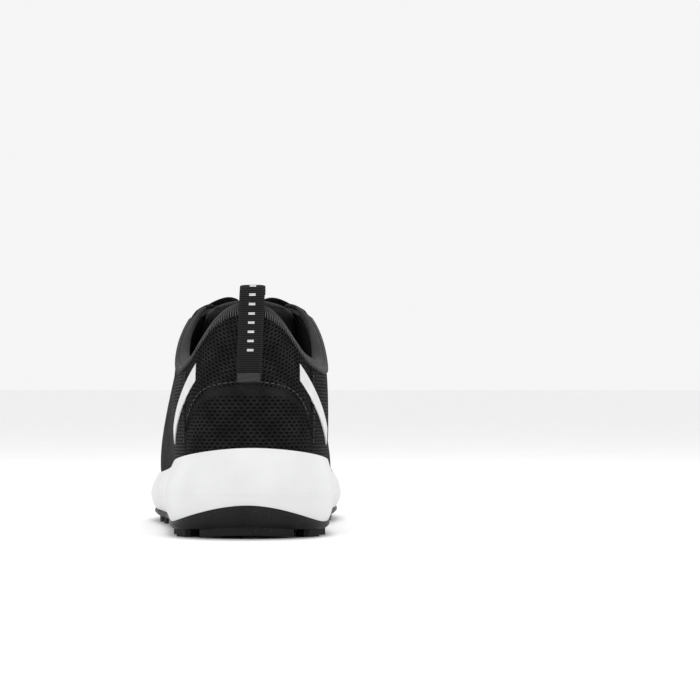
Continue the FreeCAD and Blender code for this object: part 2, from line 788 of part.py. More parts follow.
def stripe(side):
    def face(depth):
        def point(s, t):
            v = STRIPE_TOP[0] + (STRIPE_END[0] - STRIPE_TOP[0]) * s
            z = STRIPE_TOP[1] + (STRIPE_END[1] - STRIPE_TOP[1]) * s + STRIPE_HALF_HEIGHT * (2 * t - 1)
            return wall(side_station(v, side), z, depth)

        return point

    return slab(face(-STRIPE_THICK - 0.05), face(-0.05), 16, 6)


save("stripe_medial", stripe(1))
save("stripe_lateral", stripe(-1))

# ---- Pieces: tongue ---------------------------------------------------------------------------------------------
TONGUE_DEPTH = 6.0
TONGUE_HINGE = 2.94  # station of the fold across the tongue, above the top lace row
TONGUE_TOP, TONGUE_ROOT = 2.42, 4.72
TONGUE_HALF_WIDTH = [(2.42, 18.5), (2.55, 22.3), (2.8, 23.2), (3.3, 25.0), (4.0, 23.0), (4.72, 18.0)]
TONGUE_THICK = [(2.42, 2.2), (2.5, 4.4), (2.65, 6.2), (3.2, 6.0), (4.2, 3.6), (4.72, 1.6)]
TONGUE_CURVE = 0.0115


def tongue_point(v, across, below):
    """A point on the tongue: across from -1 (outer side) to 1, `below` its top surface."""
    x, y, z = skin(v, 1.0, TONGUE_DEPTH + below)
    normal = normal_at(v, 1.0)
    offset = across * keyed(TONGUE_HALF_WIDTH, v)
    drop = TONGUE_CURVE * offset**2
    return x + offset, y - drop * normal[1], z - drop * normal[2]


def tongue_solid(v0, v1):
    def top(s, t):
        return tongue_point(v0 + (v1 - v0) * s, 2 * t - 1, 0.0)

    def bottom(s, t):
        v = v0 + (v1 - v0) * s
        return tongue_point(v, 2 * t - 1, keyed(TONGUE_THICK, v) * (1 - 0.55 * (2 * t - 1) ** 4))

    return slab(top, bottom, 24, 14)


TONGUE_GAP = 0.015
save("tongue_top", tongue_solid(TONGUE_TOP, TONGUE_HINGE - TONGUE_GAP))
save("tongue", tongue_solid(TONGUE_HINGE + TONGUE_GAP, TONGUE_ROOT))

# ---- Pieces: lace ------------------------------------------------------------------------------------------------
HOLE_LACE_WIDTH = 3.4


def throat_direction(v):
    ahead, behind = skin(v + 0.02, 1.0), skin(v - 0.02, 1.0)
    return Vector(*[p - q for p, q in zip(ahead, behind)]).normalize()


def ribbon(stops, per_stop=7, lengths=1):
    """A flat band through stops: (point, throat station, width), as this many lengths that meet end to end."""
    curve = Part.BSplineCurve()
    curve.interpolate([Vector(*p) for p, _, _ in stops])
    places = [curve.parameter(Vector(*p)) for p, _, _ in stops]
    samples = []
    for k in range(len(stops) - 1):
        for j in range(per_stop):
            samples.append((k, j / per_stop))
    samples.append((len(stops) - 2, 1.0))

    def frame(k, f):
        value = places[k] + (places[k + 1] - places[k]) * f
        centre = curve.value(value)
        forward = curve.tangent(value)[0]
        v = stops[k][1] + (stops[k + 1][1] - stops[k][1]) * f
        width = stops[k][2] + (stops[k + 1][2] - stops[k][2]) * smooth(0, 1, f)
        along = throat_direction(v)
        along = (along - forward * along.dot(forward)).normalize()
        return centre, along, along.cross(forward), width

    frames = [frame(*sample) for sample in samples]

    def face(sign, first, last):
        def point(s, t):
            centre, along, up, width = frames[first + round(s * (last - first))]
            e = 2 * t - 1
            p = centre + along * (e * width / 2) + up * (sign * LACE_THICK / 2 * (1 - 0.5 * e**4))
            return p.x, p.y, p.z

        return point

    cuts = [round(k * (len(frames) - 1) / lengths) for k in range(lengths + 1)]
    return [slab(face(1, a, b), face(-1, a, b), b - a, 6) for a, b in zip(cuts, cuts[1:])]


def on_tongue(v, offset, height):
    """A point `height` above the tongue, `offset` to the inner side of its middle."""
    return tongue_point(v, offset / keyed(TONGUE_HALF_WIDTH, v), -height)


W, H = LACE_WIDTH, HOLE_LACE_WIDTH
UNDER, OVER = 4.75, -STAY_THICK - STAY_GAP - LACE_THICK / 2 - 0.4


def rise_through(k, side):
    """Stops of a lace that comes from under the flap and up through the eyelet of row k."""
    u = side_station(ROWS[k], side)
    w = from_edge(u, HOLE_FROM_EDGE)
    near = from_edge(u, HOLE_FROM_EDGE - 3.4)
    edge = from_edge(u, 0.3)
    return [
        (skin(u, from_edge(u, HOLE_FROM_EDGE - 4.6), UNDER), ROWS[k], W - 1),
        (skin(u, from_edge(u, HOLE_FROM_EDGE - 0.9), UNDER - 0.2), ROWS[k], H + 0.4),
        (skin(u, w, 2.6), ROWS[k], H),
        (skin(u, w, -0.2), ROWS[k], H),
        (skin(u, from_edge(u, HOLE_FROM_EDGE - 1.4), OVER - 0.3), ROWS[k], H + 0.8),
        (skin(u, from_edge(u, HOLE_FROM_EDGE - 4.6), OVER), ROWS[k], W - 0.6),
        (skin(u, edge, OVER + 0.2), ROWS[k], W),
    ]


def crossing(k, side, over):
    """Stops between row k on one side and row k + 1 on the other."""
    v0, v1 = ROWS[k], ROWS[k + 1]
    height = 1.2 + (1.75 if over else 0.0)
    return [
        (on_tongue(v0 + 0.35 * (v1 - v0), 8.0 * side, 1.6 + (1.9 if over else 0.0)), v0 + 0.35 * (v1 - v0), W),
        (on_tongue((v0 + v1) / 2, 0.0, height), (v0 + v1) / 2, W),
        (on_tongue(v0 + 0.65 * (v1 - v0), -7.5 * side, 1.3 + (1.7 if over else 0.0)), v0 + 0.65 * (v1 - v0), W),
    ]


def strand(first_side):
    """One half of the lace: from the bar at the bottom row up to the top row."""
    u = side_station(ROWS[0], first_side)
    down = [stop for stop in reversed(rise_through(0, first_side))]
    stops = [(on_tongue(ROWS[0], 0.35 * first_side, 3.2), ROWS[0], W)] + down[:-1]
    side = first_side
    for k in range(EYELETS - 1):
        over = (k % 2 == 0) == (first_side > 0)
        stops += crossing(k, side, over)
        side = -side
        stops += rise_through(k + 1, side)
    return stops


KNOT_V = 3.08


def lace_stops():
    """The whole lace between the two sides of the knot, by way of the bar at the bottom row."""
    halves = []
    for side in (1, -1):
        half = strand(side)[1:]
        half.append((on_tongue(KNOT_V, -5.8 * side, 2.2), KNOT_V, W - 1.5))
        halves.append(half)
    bar = (on_tongue(ROWS[0], 0.0, 3.2), ROWS[0], W)
    return [*reversed(halves[1]), bar, *halves[0]]


def bow_point(side, arc, height, forward):
    """A point `arc` to one side of the ridge and `height` above the skin."""
    u = side_station(KNOT_V + forward, side)
    w, run = 1.0, 0.0
    before = skin(u, w)
    while run < arc:
        w -= 0.004
        here = skin(u, w)
        run += sqrt(sum((p - q) ** 2 for p, q in zip(here, before)))
        before = here
    return skin(u, w, -height)


# Bow: distance from the ridge, height above the skin, stations forward of the knot
LOOP = [
    (6.1, 1.9, 0.0), (10.0, 4.6, 0.03), (18.0, 6.4, 0.09), (26.0, 6.8, 0.15), (31.0, 6.8, 0.185), (33.2, 6.3, 0.195),
    (34.4, 4.5, 0.20), (33.2, 2.7, 0.195), (31.0, 2.2, 0.185), (26.0, 2.3, 0.15), (18.0, 2.9, 0.10),
    (10.5, 2.3, 0.05), (6.1, 0.1, 0.01),
]
TAIL = [
    (6.1, -1.6, 0.07), (10.0, 1.2, 0.21), (15.0, 3.9, 0.34), (22.0, 5.4, 0.41), (29.0, 4.5, 0.47), (35.0, 2.7, 0.54),
    (40.0, 1.7, 0.62),
]
AGLET = [(40.6, 1.6, 0.63), (44.0, 1.5, 0.70), (48.0, 1.5, 0.78), (51.0, 1.5, 0.85)]


def bow_stops(path, side, width):
    return [(bow_point(side, a, h, f), KNOT_V + f, width) for a, h, f in path]


def knot():
    """The knot: a rounded block that the two sides, the loops and the ends run into."""
    length, width, height = 9.4, 8.0, 6.4
    block = Part.makeBox(length, width, height, Vector(-length / 2, -width / 2, -height / 2))
    block = block.makeFillet(2.2, block.Edges)
    block.rotate(Vector(0, 0, 0), Vector(1, 0, 0), -14)
    block.translate(Vector(*on_tongue(KNOT_V, 0.0, 5.0)))
    return block


lace_parts = ribbon(lace_stops(), lengths=9)
for side in (1, -1):
    lace_parts += ribbon(bow_stops(LOOP, side, W))
    lace_parts += ribbon(bow_stops(TAIL, side, W - 0.5))
save("lace", knot(), *lace_parts)
save("aglets", *[length for side in (1, -1) for length in ribbon(bow_stops(AGLET, side, 3.2), 5)])


# ---- Pieces: pull loop at the heel -------------------------------------------------------------------------------
LOOP_LEAN = 0.035  # the loop leans this much to the inner side as it rises
LOOP_BASE_Z, LOOP_HINGE_Z, LOOP_TOP_Z = 78.5, 117.0, 128.0


def heel_x(z):
    return 9.3 + LOOP_LEAN * (z - LOOP_BASE_Z)


def station_at_x(x, z):
    """Station near the heel where the skin at height z has this x."""
    low, high = -0.6, 0.6
    for _ in range(30):
        middle = (low + high) / 2
        if wall(middle, z)[0] < x:
            low = middle
        else:
            high = middle
    return (low + high) / 2


def heel_y(x, z, depth):
    """y of a surface `depth` inside the skin at the back of the heel."""
    return wall(station_at_x(x, z), z, depth)[1]


def strap(path, half_width, thickness, backing=None):
    """Webbing along a path of (y, z) behind the heel, or lying on the heel itself where `backing` is given."""

    def place(t):
        k = t * (len(path) - 1)
        y = keyed([(i, p[0]) for i, p in enumerate(path)], k)
        z = keyed([(i, p[1]) for i, p in enumerate(path)], k)
        return y, z

    def face(offset):
        def point(s, t):
            y, z = place(t)
            side = (2 * s - 1) * half_width
            x = heel_x(z) + side
            if backing is not None:
                return x, heel_y(x, min(z, 114.5), -backing - offset), z
            y0, z0 = place(max(0.0, t - 0.01))
            y1, z1 = place(min(1.0, t + 0.01))
            length = hypot(y1 - y0, z1 - z0)
            curve = side**2 / 100.0
            return x, y - offset * (z1 - z0) / length + curve, z + offset * (y1 - y0) / length

        return point

    return slab(face(thickness), face(0.0), 8, 24)


def base_path():
    stops = []
    for i in range(7):
        z = LOOP_BASE_Z + (LOOP_HINGE_Z - 0.8 - LOOP_BASE_Z) * i / 6
        stops.append((heel_y(heel_x(z), min(z, 114.5), -0.25), z))
    return stops


base = base_path()
save("pull_loop_base", strap(base, WEBBING_WIDTH / 2, WEBBING, backing=0.25))
hinge_y = base[-1][0]
crest = LOOP_TOP_Z - WEBBING
top_path = [
    (hinge_y, LOOP_HINGE_Z + 0.6), (hinge_y + 0.3, 120.0), (hinge_y + 1.2, 123.8), (hinge_y + 3.4, crest - 0.4),
    (hinge_y + 5.8, crest - 0.3), (hinge_y + 8.0, 124.2), (hinge_y + 9.4, 122.6),
]
save("pull_loop_top", strap(top_path, WEBBING_WIDTH / 2, WEBBING))
patch = [(0.0, LOOP_BASE_Z + 0.6), (0.0, LOOP_BASE_Z + 5.0)]
save("pull_loop_patch", strap(patch, WEBBING_WIDTH / 2 - 0.6, 0.8, backing=0.25 + WEBBING + 0.1))
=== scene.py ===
"""Looks of a left golf shoe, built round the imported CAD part.

Sizes are in millimetres and become metres in mesh(). A place on the upper is a station u and a height w.
The station goes round the shoe from the heel (0) by the inner side to the toe (6) and back by the outer
side (12). The height goes from -1 at the floor through 0 at the widest place to 1 on the ridge.
"""

from math import pi, radians

import bmesh
import bpy
import numpy as np
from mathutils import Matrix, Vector


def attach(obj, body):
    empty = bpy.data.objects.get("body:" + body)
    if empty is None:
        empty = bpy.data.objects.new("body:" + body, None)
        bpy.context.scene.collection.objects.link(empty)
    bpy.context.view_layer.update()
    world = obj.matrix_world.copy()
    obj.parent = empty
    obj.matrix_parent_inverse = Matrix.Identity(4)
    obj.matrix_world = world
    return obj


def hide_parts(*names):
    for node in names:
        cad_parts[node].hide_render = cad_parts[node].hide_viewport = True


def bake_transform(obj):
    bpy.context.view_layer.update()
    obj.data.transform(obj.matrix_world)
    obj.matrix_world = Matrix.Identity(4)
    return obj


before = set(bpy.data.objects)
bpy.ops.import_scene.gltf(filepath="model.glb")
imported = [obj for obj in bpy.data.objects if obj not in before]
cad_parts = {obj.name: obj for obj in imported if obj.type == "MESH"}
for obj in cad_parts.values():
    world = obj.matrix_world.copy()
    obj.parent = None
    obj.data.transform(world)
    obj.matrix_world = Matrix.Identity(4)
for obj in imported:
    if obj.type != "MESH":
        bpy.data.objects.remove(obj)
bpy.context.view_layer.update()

# ---- The form of the shoe --------------------------------------------------------------------------------
# Outline x, y of the upper at twelve stations from the heel along the inner side
STATIONS = np.array([
    (8.5, -140.0), (39.3, -124.0), (48.5, -78.0), (44.5, -25.0),
    (48.5, 40.0), (40.5, 107.0), (8.0, 139.5), (-31.0, 113.0),
    (-48.5, 48.0), (-40.5, -10.0), (-33.5, -72.0), (-22.5, -124.0),
])
# Ridge x, y, z, squareness of the section, height of its widest place
RIDGE = np.array([
    (9.0, -100.0, 142.0, 3.4, 62.0),
    (8.5, -88.0, 140.0, 3.4, 62.0),
    (7.5, -56.0, 132.0, 3.4, 58.0),
    (5.0, -18.0, 122.5, 3.1, 46.0),
    (3.0, 26.0, 94.0, 2.0, 30.0),
    (3.5, 72.0, 73.0, 2.1, 33.0),
    (5.5, 98.0, 66.5, 2.25, 40.0),
])
TOPLINE = [
    (0.0, 115.0), (0.3, 113.0), (0.55, 107.0), (0.75, 98.5), (0.95, 91.0),
    (1.25, 87.0), (1.65, 85.5), (2.05, 90.0), (2.35, 103.0), (2.65, 117.0),
]
LEAN = [(0.0, 0.0), (0.8, 0.5), (1.6, 3.0), (2.2, 1.2), (2.9, 0.0)]
INNER_LEAN = 0.4
HOLLOW = [(2.0, 0.0), (2.6, 2.5), (3.4, 3.2), (4.4, 2.0), (5.2, 0.0)]
TOE_TILT = [(4.3, 0.0), (5.1, 0.2), (6.0, 0.24)]
COLLAR_END = 2.65
THROAT_W = [(2.65, 0.63), (2.9, 0.69), (3.2, 0.76), (3.8, 0.83), (4.3, 0.878), (4.42, 0.915), (4.52, 1.0)]
ARCH_SEAM = [(0.0, 77.5), (0.45, 76.0), (0.75, 71.0), (0.95, 61.0), (1.1, 47.0)]
TUCK = 3.0
HEEL_EDGE, TOE_SEAM = 1.08, 4.52
PANEL_FOOT = -0.72  # w of the fabric's lower edge, inside the foam cup
FABRIC = 1.4


def ring(points):
    controls = points.copy()
    for _ in range(48):
        controls = (6 * points - np.roll(controls, 1) - np.roll(controls, -1)) / 4
    return controls


def at(controls, u):
    u = np.asarray(u, float)
    k = np.floor(u).astype(int)
    t = u - k
    a, b, c, d = (controls[(k + i - 1) % 12] for i in range(4))
    before, after = (1 - t) ** 3 * a, t**3 * d
    return (before + (3 * t**3 - 6 * t * t + 4) * b + (-3 * t**3 + 3 * t * t + 3 * t + 1) * c + after) / 6


UPPER_X, UPPER_Y = (ring(STATIONS[:, j]) for j in range(2))
MIRRORED = [min(k, 12 - k) for k in range(12)]
RIDGE_X, RIDGE_Y, RIDGE_Z, SQUARENESS, WIDEST_Z = (ring(RIDGE[MIRRORED, j]) for j in range(5))


def smooth(start, end, value):
    t = np.clip((value - start) / (end - start), 0.0, 1.0)
    return t * t * (3 - 2 * t)


def from_heel(u):
    return np.minimum(np.mod(u, 12), np.mod(-np.asarray(u, float), 12))


def keyed(keys, value):
    xs, ys = np.array(keys, float).T
    slopes = np.zeros(len(xs))
    slopes[1:-1] = (ys[2:] - ys[:-2]) / (xs[2:] - xs[:-2])
    slopes[-1] = (ys[-1] - ys[-2]) / (xs[-1] - xs[-2])
    value = np.clip(value, xs[0], xs[-1])
    i = np.clip(np.searchsorted(xs, value, side="right") - 1, 0, len(xs) - 2)
    h = xs[i + 1] - xs[i]
    t = (value - xs[i]) / h
    return (
        (2 * t**3 - 3 * t * t + 1) * ys[i] + (t**3 - 2 * t * t + t) * h * slopes[i]
        + (3 * t * t - 2 * t**3) * ys[i + 1] + (t**3 - t * t) * h * slopes[i + 1]
    )


def floor_z(y):
    return 18 + 11 * (1 - smooth(-70, 40, y)) + 12.6 * np.maximum(0, (y - 50) / 96) ** 2


def tilt(u):
    return keyed(TOE_TILT, from_heel(u)) * (at(UPPER_Y, u) - at(RIDGE_Y, u))


def form(u, w):
    u, w = np.broadcast_arrays(np.asarray(u, float), np.asarray(w, float))
    x, y, rx, ry = at(UPPER_X, u), at(UPPER_Y, u), at(RIDGE_X, u), at(RIDGE_Y, u)
    reach = np.hypot(rx - x, ry - y)
    wide_z, top_z, n = at(WIDEST_Z, u), at(RIDGE_Z, u), at(SQUARENESS, u)
    angle = np.clip(w, 0, 1) * pi / 2
    c, s = np.abs(np.cos(angle)), np.abs(np.sin(angle))
    r = (c**n + s**n) ** (-1 / n)
    share, rise = 1 - r * c, r * s
    drop = tilt(u)
    z = wide_z + (top_z - wide_z - drop) * rise + drop * share
    around = from_heel(u)
    outer = np.mod(u, 12) > 6
    lean = keyed(LEAN, around) * np.where(outer, 1.0, INNER_LEAN)
    share = share + lean * ((z - wide_z) / (keyed(TOPLINE, around) - wide_z)) ** 2 / reach
    share = share + np.where(outer, keyed(HOLLOW, around) * np.sin(2 * angle) ** 2 / reach, 0)
    low = w < 0
    share = np.where(low, TUCK * w * w / reach, share)
    z = np.where(low, wide_z + w * (wide_z - floor_z(y)), z)
    return np.stack([x + (rx - x) * share, y + (ry - y) * share, z], -1)


def unit(v):
    return v / np.maximum(np.linalg.norm(v, axis=-1, keepdims=True), 1e-9)


def plain_normal(u, w):
    step = 1e-3
    a = form(u + step, w) - form(u - step, w)
    b = form(u, np.minimum(w + step, 1.0)) - form(u, np.maximum(w - step, -1.0))
    return unit(np.cross(a, b))


def normal_at(u, w):
    """The outward normal; on the ridge it is the mean of the two sides."""
    u, w = np.broadcast_arrays(np.asarray(u, float), np.asarray(w, float))
    low = np.minimum(w, 0.97)
    near, far = plain_normal(u, low), plain_normal(12 - u, low)
    share = 0.5 * np.clip((w - 0.97) / 0.03, 0, 1)[..., None]
    return unit((1 - share) * near + share * far)


def skin(u, w, depth=0.0):
    return form(u, w) - np.asarray(depth)[..., None] * normal_at(u, w)


def w_at(u, z):
    """The w of the form at height z, found by halving."""
    u, z = np.broadcast_arrays(np.asarray(u, float), np.asarray(z, float))
    wide_z = at(WIDEST_Z, u)
    low, high = np.zeros(u.shape), np.ones(u.shape)
    for _ in range(30):
        middle = (low + high) / 2
        under = form(u, middle)[..., 2] < z
        low, high = np.where(under, middle, low), np.where(under, high, middle)
    return np.where(z < wide_z, (z - wide_z) / (wide_z - floor_z(at(UPPER_Y, u))), low)


def wall(u, z, depth=0.0):
    return skin(u, w_at(u, z), depth)


def edge_w(u):
    around = from_heel(u)
    top = w_at(u, keyed(TOPLINE, np.minimum(around, COLLAR_END)))
    throat = keyed(THROAT_W, around)
    mix = smooth(COLLAR_END, COLLAR_END + 0.3, around)
    return np.where(around <= COLLAR_END, top, top + (throat - top) * mix)


# ---- Meshes ----------------------------------------------------------------------------------------------
RIM_BULGE = 0.6  # share of half the thickness
WELD = 2e-5  # metres


def mesh(name, points, faces, uvs=None):
    data = bpy.data.meshes.new(name)
    data.from_pydata((np.asarray(points) / 1000).tolist(), [], [tuple(int(i) for i in f) for f in faces])
    if uvs is not None:
        layer = data.uv_layers.new(name="Weave")
        loops = np.empty(len(data.loops), dtype=np.int32)
        data.loops.foreach_get("vertex_index", loops)
        layer.data.foreach_set("uv", np.asarray(uvs, float)[loops].ravel())
    data.polygons.foreach_set("use_smooth", [True] * len(data.polygons))
    data.update()
    thing = bpy.data.objects.new(name, data)
    bpy.context.scene.collection.objects.link(thing)
    return thing


def face_outward(thing, weld=None):
    """Turns the faces outward, after joining points nearer to each other than `weld` metres."""
    work = bmesh.new()
    work.from_mesh(thing.data)
    if weld:
        bmesh.ops.remove_doubles(work, verts=work.verts, dist=weld)
    bmesh.ops.recalc_face_normals(work, faces=work.faces)
    work.to_mesh(thing.data)
    work.free()
    return thing


def quads(rows, columns, base=0, flip=False):
    i, j = np.meshgrid(np.arange(rows - 1), np.arange(columns - 1), indexing="ij")
    a = base + i * columns + j
    cells = np.stack([a, a + columns, a + columns + 1, a + 1], -1).reshape(-1, 4)
    return cells[:, ::-1] if flip else cells


def arc_uv(grid):
    """Millimetres along both directions of a grid of points, measured from its middle column and row."""
    along = np.linalg.norm(np.diff(grid, axis=0), axis=-1)
    up = np.linalg.norm(np.diff(grid, axis=1), axis=-1)
    u = np.concatenate([np.zeros((1, grid.shape[1])), np.cumsum(along, 0)])
    v = np.concatenate([np.zeros((grid.shape[0], 1)), np.cumsum(up, 1)], 1)
    return np.stack([u - u[len(u) // 2], v], -1)


def shell(name, outer, inner, uv=None, open_top=False):
    """A closed sheet between two grids of points. open_top leaves the rim of the last column open."""
    rows, columns = outer.shape[:2]
    size = rows * columns
    uv = (arc_uv(outer) if uv is None else uv).reshape(-1, 2)
    outer, inner = outer.reshape(-1, 3), inner.reshape(-1, 3)
    middle = (outer + inner) / 2
    index = np.arange(size).reshape(rows, columns)
    rim = np.concatenate([index[:, 0], index[-1, 1:], index[-2::-1, -1], index[0, -2:0:-1]])
    inside = np.concatenate([index[:, 1], index[-2, 1:], index[-2::-1, -2], index[1, -2:0:-1]])
    # A row of points just outside the rim rounds the edge
    out = unit(middle[rim] - middle[inside])
    half = np.linalg.norm(outer[rim] - inner[rim], axis=-1, keepdims=True) / 2
    bulge = middle[rim] + out * half * RIM_BULGE
    bulge_index = 2 * size + np.arange(len(rim))
    after = np.roll(np.arange(len(rim)), -1)
    sides = [
        np.stack([rim, bulge_index, bulge_index[after], rim[after]], -1),
        np.stack([bulge_index, rim + size, rim[after] + size, bulge_index[after]], -1),
    ]
    if open_top:
        last = columns - 1
        closed = ~((rim % columns == last) & (rim[after] % columns == last))
        sides = [side[closed] for side in sides]
    points = np.concatenate([outer, inner, bulge])
    faces = np.concatenate([quads(rows, columns), quads(rows, columns, size, True), *sides])
    return face_outward(mesh(name, points, faces, np.concatenate([uv, uv, uv[rim]])))


def panel(name, u0, u1, bottom, top, outer, rows, columns):
    """A fabric panel from station u0 to u1 between two heights given as functions of u."""
    u = np.linspace(u0, u1, rows)[:, None]
    t = np.linspace(0, 1, columns)[None, :]
    low, high = bottom(u), top(u)
    w = low + (high - low) * t
    u = np.broadcast_to(u, w.shape)
    return shell(name, skin(u, w, np.full(w.shape, outer)), skin(u, w, np.full(w.shape, FABRIC)))


def curve_through(stops, per_stop):
    """Points of a smooth curve through the stops: a cubic spline with no bend at its ends."""
    p = np.asarray(stops, float)
    chord = np.concatenate([[0], np.cumsum(np.linalg.norm(np.diff(p[:, :3], axis=0), axis=1))])
    n = len(p)
    h = np.diff(chord)
    system = np.eye(n)
    right = np.zeros_like(p)
    for i in range(1, n - 1):
        system[i, i - 1:i + 2] = h[i - 1], 2 * (h[i - 1] + h[i]), h[i]
        right[i] = 6 * ((p[i + 1] - p[i]) / h[i] - (p[i] - p[i - 1]) / h[i - 1])
    bend = np.linalg.solve(system, right)
    pieces = []
    for i in range(n - 1):
        last = i == n - 2
        t = np.linspace(0, 1, per_stop + 1)[: None if last else -1, None]
        a, b = 1 - t, t
        curve = h[i] ** 2 / 6 * ((a**3 - a) * bend[i] + (b**3 - b) * bend[i + 1])
        pieces.append(a * p[i] + b * p[i + 1] + curve)
    return np.concatenate(pieces)


# ---- Materials -------------------------------------------------------------------------------------------
class Shader:
    """A node tree with short ways to add maths. Values are sockets or plain numbers."""

    def __init__(self, name):
        self.material = bpy.data.materials.new(name)
        self.material.use_nodes = True
        self.tree = self.material.node_tree
        self.surface = self.tree.nodes["Principled BSDF"]

    def add(self, kind, sockets=None, **settings):
        made = self.tree.nodes.new("ShaderNode" + kind)
        for key, value in settings.items():
            setattr(made, key, value)
        for key, value in (sockets or {}).items():
            self.put(made.inputs[key], value)
        return made

    def put(self, socket, value):
        if isinstance(value, bpy.types.NodeSocket):
            self.tree.links.new(value, socket)
        elif hasattr(socket.default_value, "__len__") and not hasattr(value, "__len__"):
            socket.default_value = [value] * len(socket.default_value)
        else:
            socket.default_value = value

    def math(self, operation, *values, clamp=False):
        made = self.add("Math", operation=operation, use_clamp=clamp)
        for socket, value in zip(made.inputs, values):
            self.put(socket, value)
        return made.outputs[0]

    def range(self, value, low, high, to_low=0.0, to_high=1.0):
        sockets = {0: value, 1: low, 2: high, 3: to_low, 4: to_high}
        return self.add("MapRange", sockets, interpolation_type="SMOOTHSTEP").outputs[0]

    def mix(self, share, first, second):
        made = self.add("Mix", {"Factor": share}, data_type="RGBA")
        self.put(made.inputs[6], (*first, 1.0) if isinstance(first, tuple) else first)
        self.put(made.inputs[7], (*second, 1.0) if isinstance(second, tuple) else second)
        return made.outputs[2]

    def place(self, layer="Weave"):
        """Coordinates in millimetres from a mesh's own map, or from the object where it has none."""
        if layer:
            made = self.add("UVMap", uv_map=layer)
            return self.split(made.outputs[0])
        source = self.add("TexCoord").outputs["Object"]
        scaled = self.add("VectorMath", {0: source, "Scale": 1000.0}, operation="SCALE")
        return self.split(scaled.outputs[0])

    def split(self, vector):
        made = self.add("SeparateXYZ", {0: vector})
        return made.outputs[0], made.outputs[1], made.outputs[2]

    def join(self, x, y, z=0.0):
        return self.add("CombineXYZ", {0: x, 1: y, 2: z}).outputs[0]

    def noise(self, vector, scale, detail=2.0, roughness=0.5):
        sockets = {"Vector": vector, "Scale": scale, "Detail": detail, "Roughness": roughness}
        return self.add("TexNoise", sockets).outputs[0]

    def holes(self, x, y, cell_x, cell_y, wide, tall, turn=0.0, wobble=0.35):
        """A staggered grid of soft-edged oval holes: 1 in the middle of a hole, 0 on the yarn between."""
        if turn:
            c, s = float(np.cos(turn)), float(np.sin(turn))
            x, y = (
                self.math("ADD", self.math("MULTIPLY", x, c), self.math("MULTIPLY", y, s)),
                self.math("SUBTRACT", self.math("MULTIPLY", y, c), self.math("MULTIPLY", x, s)),
            )
        shake = self.math("SUBTRACT", self.noise(self.join(x, y), 0.35, 2.0), 0.5)
        x = self.math("ADD", x, self.math("MULTIPLY", shake, 3.0 * wobble))
        y = self.math("ADD", y, self.math("MULTIPLY", shake, -2.0 * wobble))
        row = self.math("DIVIDE", y, cell_y)
        index = self.math("FLOOR", row)
        shift = self.math("MULTIPLY", self.math("MODULO", self.math("ADD", index, 1000.0), 2.0), 0.5)
        column = self.math("ADD", self.math("DIVIDE", x, cell_x), shift)
        fx = self.math("SUBTRACT", self.math("FRACT", self.math("ADD", column, 1000.0)), 0.5)
        fy = self.math("SUBTRACT", self.math("FRACT", self.math("ADD", row, 1000.0)), 0.5)
        fx = self.math("DIVIDE", fx, wide)
        fy = self.math("DIVIDE", fy, tall)
        distance = self.math("ADD", self.math("MULTIPLY", fx, fx), self.math("MULTIPLY", fy, fy))
        return self.range(distance, 0.35, 1.15, 1.0, 0.0)

    def finish(self, color, rough, height=None, strength=0.5, distance=0.3, sheen=0.0, gloss=0.5):
        self.surface.inputs["Specular IOR Level"].default_value = gloss
        self.put(self.surface.inputs["Base Color"], (*color, 1.0) if isinstance(color, tuple) else color)
        self.put(self.surface.inputs["Roughness"], rough)
        if sheen:
            self.surface.inputs["Sheen Weight"].default_value = sheen
            self.surface.inputs["Sheen Roughness"].default_value = 0.5
        if height is not None:
            bump = self.add("Bump", {"Height": height, "Strength": strength, "Distance": distance / 1000})
            self.tree.links.new(bump.outputs[0], self.surface.inputs["Normal"])
        return self.material


ARCH_X, ARCH_TOP_Z, ARCH_FALL = 9.0, 77.5, 1.35e-5


def mesh_fabric(
    name, cell_x, cell_y, turn=0.0, mirrored=False, hole_shade=0.0015, yarn=0.006, light=0.022, band=False
):
    """Knit with staggered open holes, whose near-black colour is the dark lining behind plus painted shade.
    With mirrored, the rows slant up to both sides of the middle.
    """
    s = Shader(name)
    x, y, _ = s.place()
    if mirrored:
        x = s.math("ABSOLUTE", x)
    hole = s.holes(x, y, cell_x, cell_y, 0.42, 0.38, turn)
    if band:
        # The cloth is pressed smooth just under the arched seam
        bx, _, bz = s.place(None)
        off = s.math("SUBTRACT", bx, ARCH_X)
        square = s.math("MULTIPLY", off, off)
        fall = s.math("MULTIPLY", s.math("MULTIPLY", square, square), ARCH_FALL)
        seam = s.math("SUBTRACT", ARCH_TOP_Z, fall)
        below = s.math("SUBTRACT", seam, bz)
        hole = s.math("MULTIPLY", hole, s.range(below, 3.5, 6.5))
    thread_x = s.math("SINE", s.math("MULTIPLY", x, 2 * pi / 0.55))
    thread_y = s.math("SINE", s.math("MULTIPLY", y, 2 * pi / 0.5))
    thread = s.math("MULTIPLY", s.math("ADD", s.math("MULTIPLY", thread_x, thread_y), 1.0), 0.5)
    patch = s.noise(s.join(x, y), 0.09, 2.0)
    grain = s.noise(s.join(x, y), 1.3, 3.0, 0.7)
    tone = s.math("MULTIPLY", s.range(patch, 0.3, 0.7, 0.55, 1.25), s.range(grain, 0.3, 0.75, 0.55, 1.45))
    shade = s.math("MULTIPLY", s.math("ADD", s.math("MULTIPLY", thread, light - yarn), yarn), tone)
    cloth = s.join(shade, shade, s.math("MULTIPLY", shade, 1.03))
    # The holes get a near-black colour: the dark lining seen through them plus painted shade inside the
    # openings.
    color = s.mix(s.math("MULTIPLY", hole, 0.9), cloth, (hole_shade, hole_shade, hole_shade))
    relief = s.math("ADD", s.math("MULTIPLY", thread, 0.2), s.math("MULTIPLY", grain, 0.35))
    height = s.math("SUBTRACT", relief, hole)
    rough = s.range(hole, 0.0, 1.0, 0.62, 0.95)
    return s.finish(color, rough, height, 0.85, 0.45, gloss=0.06)


